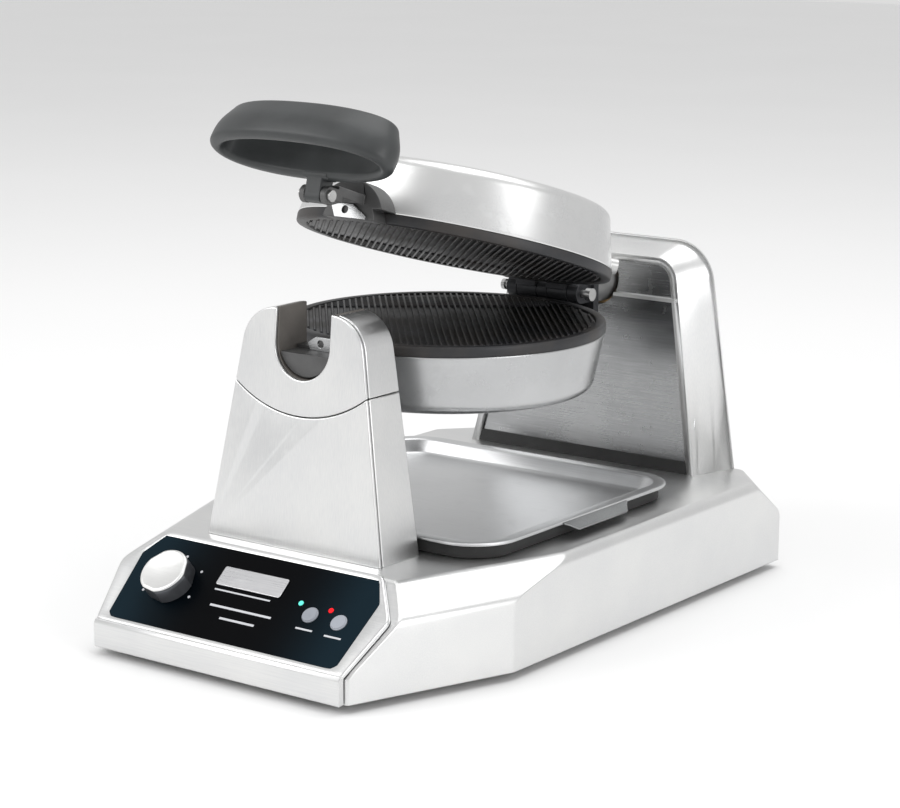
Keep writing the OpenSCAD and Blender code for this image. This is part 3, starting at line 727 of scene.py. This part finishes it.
@dataclass
class ControlPanel(Assembly):
    """The sloping fascia with its silver border, recess and front lip, round the dark film in the recess."""

    front: float = FRONT
    lip_half: float = LIP_HALF
    lip_top: float = LIP_TOP
    low: float = FOOT
    slope: float = PANEL_SLOPE
    length: float = 70.0
    thick: float = 3.0
    recess: float = 0.6
    edge: float = 1.5
    middle: tuple[float, float] = (0.0, 33.0)
    steps: int = 300

    def place(self, points: np.ndarray) -> np.ndarray:
        """From the panel's own plane, x across, y up the slope and z outwards, to the machine."""
        a = math.radians(self.slope)
        q = np.array(points, float)
        y, z = q[..., 1].copy(), q[..., 2].copy()
        q[..., 1] = self.front + SHEET_SET + y * math.cos(a) - z * math.sin(a)
        q[..., 2] = self.lip_top + y * math.sin(a) + z * math.cos(a)
        return q

    def outline(self, inset: float) -> np.ndarray:
        """The fascia's six-sided outline, moved in."""
        t = inset
        corners = both_sides([[self.lip_half - t, t * 0.9], [102.4 - t, 41.5 - t * 0.2],
                              [81 - t * 0.6, self.length - t]])
        return by_angle(rounded(corners, [1.5, 7, 6, 6, 7, 1.5]), self.middle, self.steps)

    def window(self, inset: float) -> np.ndarray:
        """The film's outline, moved in."""
        t = inset
        corners = both_sides([[83 - t, 3.6 + t], [86.5 - t, 6.5 + t], [90.2 - t, 50.5], [81.2 - t, 65.4 - t]])
        return by_angle(rounded(corners, [2, 2, 5, 4, 4, 5, 2, 2]), self.middle, self.steps)

    def build(self) -> None:
        """The fascia is a ring of sheet round the film; the lip is a bar that turns down in front."""
        rings = [flat(self.outline(0.2), -self.thick), flat(self.outline(0.0), -self.thick + 0.3)]
        e = self.edge
        rings += [flat(self.outline(e * (1 - math.cos(a))), -e + e * math.sin(a))
                  for a in np.linspace(0, np.pi / 2, 6)]
        rings += [flat(self.window(-0.5), 0), flat(self.window(-0.15), -0.15),
                  flat(self.window(-0.1), -self.recess), flat(self.window(-0.1), -self.thick)]
        panel = surface("fascia", self.place(np.stack(rings)), loop=True, sharp=30)
        y, low, high = self.front, self.low, self.lip_top
        section = rounded([[y, low], [y + 0.1, high - 2.2], [y + 1.5, high + 0.2], [y + 4.3, high - 0.4],
                           [y + 4.3, low]], [1.0, 3.0, 1.2, 0.3, 0.8], 5)
        ends = np.array([-1, -0.994, 0.994, 1]) * self.lip_half
        inset = np.array([0.6, 0, 0, 0.6])
        centre = section.mean(0)
        rows = [np.column_stack([np.full(len(section), x), centre + (section - centre) * (1 - 0.12 * t)])
                for x, t in zip(ends, inset)]
        grid = np.stack(rows)
        lip = surface("lip", grid, caps=(True, True), sharp=30)
        self.add(joined([panel, lip], "fascia"), Finish.SATIN, "base", "satin_steel", "control_fascia")


class Half(Enum):
    """The two halves of the head: its body, its placing, the names of its nodes, and its shell's finish."""

    # The lower shell's finish is a darker copy of the spun steel: painted shade and dark reflection.
    LOWER = ("head", lowered, "lower", Finish.SPUN_LOW)
    UPPER = ("lid", opened, "upper", Finish.SPUN)


@dataclass
class Drum(Assembly):
    """One half of the head: the spun shell and its non-stick plate."""

    half: Half
    plate_r: float = 100.0
    end_r: float = 93.4
    gap: float = 3.2
    plate_t: float = 6.6
    band: float = 36.8
    shoulder: float = 8.0
    pitch: float = 3.95
    turn: float = 50.2
    sheet: float = 2.2
    rib_inset: float = 7.4
    rib_floor: float = 1.55

    def shell_profile(self) -> np.ndarray:
        """The shell's section: rolled lip, band, round shoulder, a faint step on the end face, the inside."""
        rim, top = self.gap + self.plate_t, self.gap + self.plate_t + self.band
        r = self.shoulder
        corner = arc([self.end_r - r, top - r], r, 8, 90, 12)
        outside = [[self.plate_r - 0.5, rim + 0.15], [self.plate_r - 0.25, rim + 0.7],
                   [self.plate_r - 0.45, rim + 1.4], [self.plate_r - 0.8, rim + 2.4]]
        face = [[74, top], [73, top - 0.15], [72, top - 0.7], [71, top - 0.8], [30, top - 0.8],
                [0.01, top - 0.8]]
        inside = [[0.01, top - self.sheet], [self.end_r - r, top - self.sheet]]
        inside += arc([self.end_r - r, top - r], r - self.sheet, 84, 8, 6).tolist()
        inside += [[self.plate_r - self.sheet, rim + 0.15]]
        return np.array(outside + corner.tolist() + face + inside)

    def plate_profile(self) -> np.ndarray:
        """The plate's section: flat back, rounded rim, and a floor that lies a little deeper than the rim."""
        g, r, back = self.gap, self.plate_r, self.gap + self.plate_t
        return np.array([[0.01, back], [r - 0.8, back], [r - 0.2, back - 0.3], [r, back - 1.0],
                         [r, g + 1.6], [r - 0.25, g + 0.8], [r - 0.9, g + 0.2], [r - 2, g],
                         [r - 5.5, g], [r - 6.3, g + 0.25], [r - 7, g + 1.5], [0.01, g + 1.5]])

    def ribs(self) -> np.ndarray:
        """Straight bars across the whole floor, and a few that cross them along one side of the plate."""
        floor = self.gap + self.rib_floor
        d = np.arange(-23, 24) * self.pitch
        half = self.half_length(d)
        along = self.bars_at(d, (-half, half), (0.95, 0.5), (floor, self.gap + 0.1))
        d = np.arange(-20, -11) * self.pitch
        half = self.half_length(d)
        across = self.bars_at(d, (np.clip(-half, -70, None), half), (0.8, 0.4), (floor, self.gap + 0.35))
        return np.concatenate([along, across[:, :, [1, 0, 2]] * [1, -1, 1]])

    def half_length(self, d: np.ndarray) -> np.ndarray:
        """Half the length of a bar at distance d from the middle, cut off by the circle: sqrt(R^2 - d^2)."""
        reach = self.plate_r - self.rib_inset
        return np.sqrt(np.maximum(reach ** 2 - (np.abs(d) + 1) ** 2, 0))

    @staticmethod
    def bars_at(d: np.ndarray, ends: tuple[np.ndarray, np.ndarray], half_widths: tuple[float, float],
                levels: tuple[float, float]) -> np.ndarray:
        """Bars of trapezoid section.

        Args:
            d: each bar's distance from the middle line.
            ends: where each bar starts and ends along its length.
            half_widths: half the width at the foot and at the crest.
            levels: heights of the foot and the crest.

        Returns:
            Points shaped count x 8 x 3.
        """
        (low, high), (foot, crest) = ends, half_widths
        u = np.stack([low, high, high, low, low + 0.6, high - 0.6, high - 0.6, low + 0.6], -1)
        v = d[:, None] + np.array([-foot, -foot, foot, foot, -crest, -crest, crest, crest])
        w = np.broadcast_to(np.repeat(levels, 4), u.shape)
        return np.stack([u, v, w], -1)

    def build(self) -> None:
        """Shell and plate are turned profiles about the head's centre; the ribs lie on the plate's floor."""
        body, place, name, steel = self.half.value
        centre = np.array([0, HEAD[1], AXIS_Z])
        shell = revolved(name + "_drum", self.shell_profile(), centre, place)
        plate = revolved(name + "_griddle", self.plate_profile(), centre, place)
        a = math.radians(-self.turn)
        q = self.ribs()
        x = q[..., 0] * math.cos(a) - q[..., 1] * math.sin(a)
        y = q[..., 0] * math.sin(a) + q[..., 1] * math.cos(a)
        ribs = bars(name + "_ribs", place(np.stack([centre[0] + x, centre[1] + y, centre[2] + q[..., 2]], -1)))
        self.add(shell, steel, body, "satin_steel", name + "_shell")
        self.add(joined([plate, ribs], name + "_griddle"), Finish.BAKED, body, "baking_black", name + "_plate")


@dataclass
class Handle(Assembly):
    """The oval loop: a broad moulded band, flared towards its lower edge, on a stem over the fold pin."""

    width: float = 131.6
    depth: float = 51.8
    height: float = 28.4
    thick: float = 9.0
    middle: tuple[float, float] = (-147.0, 39.2)
    pitch: float = 19.6
    pivot: tuple[float, float] = (-128.5, 10.0)
    gusset_z: float = 11.0

    def section(self) -> np.ndarray:
        """The band's section, as distance inside the widest oval and height: upright, well rounded on top."""
        h, t = self.height / 2, self.thick
        return rounded([[0, -h], [0.0, -1], [7.5, h], [t + 5.0, h], [t + 0.5, 2], [t - 0.5, -h]],
                       [4.2, 26, 5.5, 3.2, 20, 3.4], 7)

    def slab(self, name: str, outline: np.ndarray, stations: Sequence[tuple[float, float]],
             middle: float) -> bpy.types.Object:
        """An outline in the plane across the fold pin, carried along the pin.

        Args:
            name: the mesh's name.
            outline: points as distance behind the pin and height above it.
            stations: places along x, each with the outline's scale there.
            middle: the height that the scale keeps still.

        Returns:
            The object.
        """
        y0, z0 = self.pivot[0], AXIS_Z + self.pivot[1] + middle
        y, z = outline[:, 0], outline[:, 1] - middle
        rows = [np.column_stack([np.full(len(outline), x), y0 + y * f, z0 + z * f]) for x, f in stations]
        return surface(name, opened(np.stack(rows)), caps=(True, True), sharp=35)

    def build(self) -> None:
        """The section follows an oval x = a |cos|^0.88, y = b |sin|^0.94, tipped by the handle's pitch.

        Two slabs make the stem: a narrow one over the pin and a wide one under the band.
        """
        u = np.linspace(0, 2 * np.pi, 168, endpoint=False)
        c, s = np.cos(u), np.sin(u)
        cx, cy = np.sign(c) * np.abs(c) ** 0.88, np.sign(s) * np.abs(s) ** 0.94
        inset, k = self.section()[:, 0][None, :], self.section()[:, 1][None, :]
        x = (self.width / 2 - inset) * cx[:, None]
        y = (self.depth / 2 - inset) * cy[:, None]
        p = math.radians(self.pitch)
        grid = np.stack([x, self.middle[0] + y * math.cos(p) + k * math.sin(p),
                         AXIS_Z + self.middle[1] - y * math.sin(p) + k * math.cos(p)], -1)
        loop = surface("handle_band", opened(grid), loop=True, sharp=60)
        boss = rounded([[-5.2, 0], [-5.2, -4], [0, -5.2], [5.2, -4], [5.2, 2], [6, 12.6], [-6, 11.6]],
                       [2, 3.5, 3.5, 3.5, 2, 1, 1], 4)
        stem = self.slab("stem", boss, ((-5.6, 0.93), (-5.2, 1.0), (5.2, 1.0), (5.6, 0.93)), 0)
        wide = rounded([[-6.3, 8.5], [4.9, 8.5], [5.3, 13.9], [-6.3, 12.3]], [2.2, 2.2, 0.5, 0.5], 4)
        gusset = self.slab("gusset", wide, ((-9.4, 0.8), (-8.6, 1.0), (8.6, 1.0), (9.4, 0.8)), self.gusset_z)
        band = joined([loop, stem, gusset], "handle_band")
        self.add(band, Finish.HANDLE, "handle", "dark_plastic", "handle_loop")


@dataclass
class Tray(Assembly):
    """The pressed drip tray: rolled rim, sloping walls, a tab on each side, and a dark band under the rim that
    is painted shadow.
    """

    width: float = 224.0
    depth: float = 219.0
    height: float = 10.4
    centre: tuple[float, float, float] = (0.0, 11.6, 64.3)
    corner: float = 31.0
    tab_middle: float = 3.4
    tab_thick: float = 0.9

    def ring(self, inset: float, z: float) -> np.ndarray:
        """A rectangle with round corners, moved in, at one height above the tray's underside."""
        w, d, r = self.width / 2 - inset, self.depth / 2 - inset, max(self.corner - inset, 6)
        corners = [[w, d], [-w, d], [-w, -d], [w, -d]]
        q = flat(rounded(corners, r, 14), z)
        return q + np.array(self.centre)

    def tab(self, side: int) -> bpy.types.Object:
        """A tab on one side: it falls away outwards, and less towards its two ends."""
        run = np.array([-33, -30, -25, 29, 34, 37]) + self.centre[1] + self.tab_middle
        drop = np.array([0.0, 0.3, 1.0, 1.0, 0.3, 0.0])[:, None]
        across = np.array([0.0, 1.5, 6.6, 7.4])[None, :]
        fall = np.array([0.0, 0.25, 3.4, 4.1])[None, :]
        x = self.centre[0] + side * (self.width / 2 - 0.8 + across * (0.25 + 0.75 * drop))
        z = self.centre[2] + self.height - 0.5 - fall * drop
        grid = np.stack([x, np.broadcast_to(run[:, None], x.shape), z], -1)
        both = np.concatenate([grid, (grid - [0, 0, self.tab_thick])[:, ::-1]], 1)
        return surface("tab", both, caps=(True, True), sharp=40)

    def build(self) -> None:
        """Rings up the outer wall, round the rim, down the inner wall and across the floor; tabs, and the
        painted-shadow band.
        """
        h = self.height
        rings = [(10.2, 0.0), (9.2, 0.15), (8.9, 1.0), (8.7, h - 1.8), (2.2, h - 1.9), (0.6, h - 1.9),
                 (0.1, h - 1.3), (0.1, h - 0.7), (0.6, h - 0.15), (1.6, h), (7.2, h), (8.4, h - 0.25),
                 (9.3, h - 1.0), (12.2, 2.6), (13.0, 1.5), (14.6, 0.95), (17.5, 0.75), (30, 0.7)]
        pan = surface("tray_pan", np.stack([self.ring(t, z) for t, z in rings]), caps=(True, True), sharp=50)
        tabs = [self.tab(side) for side in (-1, 1)]
        self.add(pan, Finish.TRAY, "tray", "polished_steel", "drip_tray")
        # The tabs get a darker copy of the steel: painted shade.
        self.add(joined(tabs, "tray_tabs"), Finish.DULL, "tray", "polished_steel")
        # A black band under the rim: painted shadow of the gap between the rim and the deck, with no such part
        # in the real tray.
        section = [(8.6, 0.2), (5.2, 0.2), (4.6, 0.8), (4.6, h - 2.6), (5.2, h - 2.2), (8.6, h - 2.2)]
        shadow_band = surface("tray_seat", np.stack([self.ring(t, z) for t, z in section]), loop=True, sharp=50)
        self.add(shadow_band, Finish.RUBBER, "tray", "rubber")


@dataclass
class Knob(Assembly):
    """The browning knob: a dark skirt with three flats under a bright turned cap."""

    at: tuple[float, float] = (-55.5, 34.8)
    radius: float = 15.5
    height: float = 12.5
    bore: float = 2.9
    shaft_end: float = -13.9
    flats_at: tuple[float, float, float] = (20.0, 140.0, 260.0)
    panel: ControlPanel = field(default_factory=ControlPanel)

    def ring(self, radius: float, z: float, flats: float) -> np.ndarray:
        """A circle with three flats: r = min(R, flat / |cos of the angle to the flat's middle|)."""
        a = np.linspace(0, 2 * np.pi, 180, endpoint=False)
        cut = np.cos(a[None, :] - np.radians(self.flats_at)[:, None])
        reach = np.where(cut > 0.2, flats / np.maximum(cut, 0.2), np.inf)
        r = np.minimum(radius, reach.min(0))
        return np.stack([self.at[0] + r * np.cos(a), self.at[1] + r * np.sin(a), np.full(a.shape, z)], -1)

    def build(self) -> None:
        """Both parts are stacks of rings about the knob's axis, set square to the panel."""
        r, h = self.radius, self.height
        skirt = [(r - 0.6, 0.45), (r, 0.9), (r, h - 3.0), (r - 0.25, h - 2.2), (r - 0.5, h - 1.6),
                 (self.bore, h - 1.6), (self.bore, self.shaft_end)]
        cap = [(r - 0.9, h - 1.4), (r - 0.35, h - 1.3), (r - 0.3, h - 0.9), (r - 0.7, h - 0.35),
               (r - 1.3, h - 0.05), (r - 2.2, h - 0.02), (r - 2.8, h - 0.25), (0.6, h - 0.15)]
        body, disc = (self.stack(name, rings) for name, rings in (("knob_body", skirt), ("knob_disc", cap)))
        self.add(body, Finish.KNOB_SIDE, "knob", "knob_side", "knob_skirt")
        self.add(disc, Finish.KNOB_FACE, "knob", "knob_face", "knob_cap")

    def stack(self, name: str, rings: Sequence[tuple[float, float]]) -> bpy.types.Object:
        """Rings of radius and height, with flats on the wide ones only, set square to the panel."""
        flats = [min(self.radius - 0.9, r - 0.6) if r > 5 else np.inf for r, _ in rings]
        grid = np.stack([self.ring(r, z, flat_r) for (r, z), flat_r in zip(rings, flats)])
        return surface(name, self.panel.place(grid), caps=(True, True), sharp=40)


@dataclass
class RearTower(Assembly):
    """The rear tower: a bent cover that flares backwards, with a flange round the recessed front plate."""

    foot: float = DECK
    front: tuple[tuple[float, float], tuple[float, float]] = ((167.7, DECK), (184.8, 205.3))
    back: float = 207.6
    front_w: tuple[float, float] = (90.7, 61.8)
    back_w: tuple[float, float] = (101.5, 77.0)
    top: tuple[float, float] = (205.3, 215.5)
    wall: float = 1.0
    corner: tuple[float, float] = (18.0, 30.0)
    back_round: float = 5.5
    arc_steps: int = 14

    def frame_ring(self, t: float, inset: float, shift: float) -> np.ndarray:
        """An open arch from one foot over the top to the other foot.

        Args:
            t: 0 at the front face and 1 at the back.
            inset: how far the arch is moved in.
            shift: how far it is moved back along y.

        Returns:
            The arch's points. The front face leans, so y follows the height there.
        """
        w0 = self.front_w[0] + (self.back_w[0] - self.front_w[0]) * t
        w1 = self.front_w[1] + (self.back_w[1] - self.front_w[1]) * t
        z1 = self.top[0] + (self.top[1] - self.top[0]) * t
        r = self.corner[0] + (self.corner[1] - self.corner[0]) * t
        corners = both_sides([[w0 - inset, self.foot], [w1 - inset + 1.0, z1 - inset]])
        q = rounded(corners, [0.01, r - inset, r - inset, 0.01], self.arc_steps)
        # the arcs at the two feet are dropped, so the arch ends square on the deck
        q = q[self.arc_steps:-self.arc_steps]
        (y0, z0), (y1, z1) = self.front
        lean = y0 + (y1 - y0) * (q[:, 1] - z0) / (z1 - z0)
        y = lean * (1 - t) + self.back * t + shift
        return np.stack([q[:, 0], np.minimum(y, self.back - 0.02), q[:, 1]], -1)

    def build(self) -> None:
        """Arches from the flange's inner edge, over the front edge and along the sides to the back edge.

        A flat sheet closes the back. A ledge crosses the top of the recess, and a dark strip at its foot is
        painted shadow.
        """
        r = self.back_round
        rows = [(0.0, 6.0, 1.6), (0.0, 1.6, 0.1), (0.0, 0.6, 0.25), (0.0, 0.05, 1.2), (0.12, 0, 0), (0.5, 0, 0),
                (0.86, 0, 0)]
        rows += [(1.0, r * (1 - math.cos(a)), -r * (1 - math.sin(a))) for a in np.linspace(0, np.pi / 2, 8)]
        grid = np.stack([self.frame_ring(*row) for row in rows])
        cover = surface("rear_arch", grid, ring=False, sharp=28)
        sheet = cover.modifiers.new("sheet", "SOLIDIFY")
        sheet.thickness, sheet.offset = self.wall * MM, -1
        self.add(cover, Finish.SATIN_UP, "base", "satin_steel", "rear_cover")
        outline = self.frame_ring(1.0, r - 0.1, 0)
        outline[:, 1] = self.back - 0.02
        faces = np.stack([outline, outline - [0, self.wall, 0]])
        back = surface("rear_back", faces, caps=(True, True), sharp=28)
        self.add(back, Finish.SATIN_UP, "base", "satin_steel")
        ledge = self.shelf((18, 66), (178.6, 184.5), 176.4) + self.shelf((18, 66), (179.2, 184.8), 178.6)
        self.add(bars("rear_ledge", np.array([ledge])), Finish.SATIN, "base", "satin_steel")
        # A black strip along the foot of the rear plate: painted shadow of the gap under the tray's rim, not a
        # real seal.
        strip = self.shelf((-88, 88), (169.2, 170.7), DECK + 0.1)
        strip += self.shelf((-87.4, 87.4), (170.2, 171.6), 72.0)
        self.add(bars("rear_foot_seal", np.array([strip])), Finish.RUBBER, "base", "rubber")

    @staticmethod
    def shelf(across: tuple[float, float], along: tuple[float, float], z: float) -> list[list[float]]:
        """A level rectangle's four corners, from its two ends across the machine and its two ends along it."""
        (x0, x1), (y0, y1) = across, along
        return [[x0, y0, z], [x1, y0, z], [x1, y1, z], [x0, y1, z]]


# finish, body, slot, width of the rounded edge, and the nodes
SOFTENED = [
    (Finish.SATIN_UP, "base", "satin_steel", 0.7,
     ("tower_front_lower", "tower_front_upper", "tower_wrap", "tower_cap")),
    # The neck saddle's dark grey is partly painted shade of its notch.
    (Finish.SADDLE, "base", "dark_plastic", 0.6, ("neck_saddle",)),
    (Finish.CAST, "head", "cast_grey", 0.8, ("lower_neck",)),
    (Finish.CAST, "lid", "cast_grey", 0.8, ("upper_neck",)),
    # The latches take the darker copy of the polished steel: painted dark reflection.
    (Finish.REAR, "head", "polished_steel", 0.3, ("lower_latch",)),
    (Finish.REAR, "lid", "polished_steel", 0.3, ("upper_latch",)),
    (Finish.CAST_DARK, "head", "cast_dark", 0.8, ("hinge_yoke",)),
    (Finish.CAST_DARK, "lid", "cast_dark", 0.8, ("hinge_arm",)),
    (Finish.BADGE, "base", "badge", 0.3, ("badge_plate",)),
    (Finish.BUTTON, "power_button", "button_grey", 0.35, ("power_button",)),
    (Finish.BUTTON, "timer_button", "button_grey", 0.35, ("timer_button",)),
]


class SoftParts(Assembly):
    """The solid parts whose crisp edges are rounded."""

    def build(self) -> None:
        """A merged and bevelled copy of each."""
        for finish, body, slot, width, nodes in SOFTENED:
            for node in nodes:
                self.add(softened(node, width), finish, body, slot, node)


# ---------------------------------------------------------------- studio


@dataclass
class Studio:
    """The camera, the lights and the pale floor. Lengths are in metres here."""

    azimuth: float = 36.3
    elevation: float = 12.1
    roll: float = 0.4
    distance: float = 1.6469
    target: tuple[float, float, float] = (0.0082, 0.0075, 0.1292)
    lens: float = 104.9
    lamps: tuple = (("key", (-1.3, -1.8, 1.6), 1.6, 22), ("side", (2.2, -0.3, 0.9), 1.2, 13),
                    ("top", (0.2, 0.5, 2.3), 1.8, 20))
    aim: tuple[float, float, float] = (0.0, 0.0, 0.12)
    sky: float = 0.72
    floor_half: float = 6.0

    def camera(self) -> None:
        """Looks at the target from the azimuth and elevation, with a slight roll."""
        a, e, r = (math.radians(v) for v in (self.azimuth, self.elevation, self.roll))
        back = Vector((math.sin(a) * math.cos(e), -math.cos(a) * math.cos(e), math.sin(e)))
        right = (-back).cross(Vector((0, 0, 1))).normalized()
        up = right.cross(-back)
        turned = right * math.cos(r) + up * math.sin(r)
        risen = up * math.cos(r) - right * math.sin(r)
        data = bpy.data.cameras.new("camera")
        data.lens, data.clip_end = self.lens, 50
        camera = bpy.data.objects.new("camera", data)
        camera.matrix_world = Matrix.Translation(Vector(self.target) + back * self.distance) @ Matrix(
            (turned, risen, back)).transposed().to_4x4()
        bpy.context.scene.collection.objects.link(camera)
        bpy.context.scene.camera = camera

    def light(self, name: str, place: Sequence[float], size: float, power: float) -> None:
        """A soft square lamp that faces the machine."""
        data = bpy.data.lights.new(name, "AREA")
        data.shape, data.size, data.energy = "SQUARE", size, power
        lamp = bpy.data.objects.new(name, data)
        lamp.location = place
        lamp.rotation_euler = (Vector(self.aim) - Vector(place)).to_track_quat("-Z", "Y").to_euler()
        bpy.context.scene.collection.objects.link(lamp)

    def build(self) -> None:
        """Sets the camera, three soft lamps, an even sky and the floor."""
        self.camera()
        for lamp in self.lamps:
            self.light(*lamp)
        bpy.context.scene.view_settings.view_transform = "Standard"
        world = bpy.data.worlds.new("sky")
        bpy.context.scene.world = world
        world.use_nodes = True
        background = world.node_tree.nodes["Background"]
        background.inputs["Color"].default_value = (1.0, 1.0, 1.0, 1)
        background.inputs["Strength"].default_value = self.sky
        half = self.floor_half
        mesh = bpy.data.meshes.new("floor")
        corners = [(-half, -half, 0), (half, -half, 0), (half, half, 0), (-half, half, 0)]
        mesh.from_pydata(corners, [], [[0, 1, 2, 3]])
        floor = bpy.data.objects.new("floor", mesh)
        bpy.context.scene.collection.objects.link(floor)
        s = Shade("floor_pale")
        tone = s.mix(s.noise(400, 2), (0.88, 0.88, 0.88), (0.91, 0.91, 0.91))
        mesh.materials.append(s.principled(Base_Color=tone, Roughness=0.7))


def main() -> None:
    """Builds the machine's pieces in order, then the studio round them."""
    logging.basicConfig(level=logging.INFO, format="%(message)s")
    finish_nodes()
    panel = ControlPanel()
    parts = (BaseBody(), panel, Knob(panel=panel), RearTower(), Drum(Half.LOWER), Drum(Half.UPPER), Handle(),
             Tray(), SoftParts())
    for part in parts:
        part.build()
        part.dress()
        log.info("%s is done", type(part).__name__)
    Studio().build()


if __name__ == "__main__":
    main()
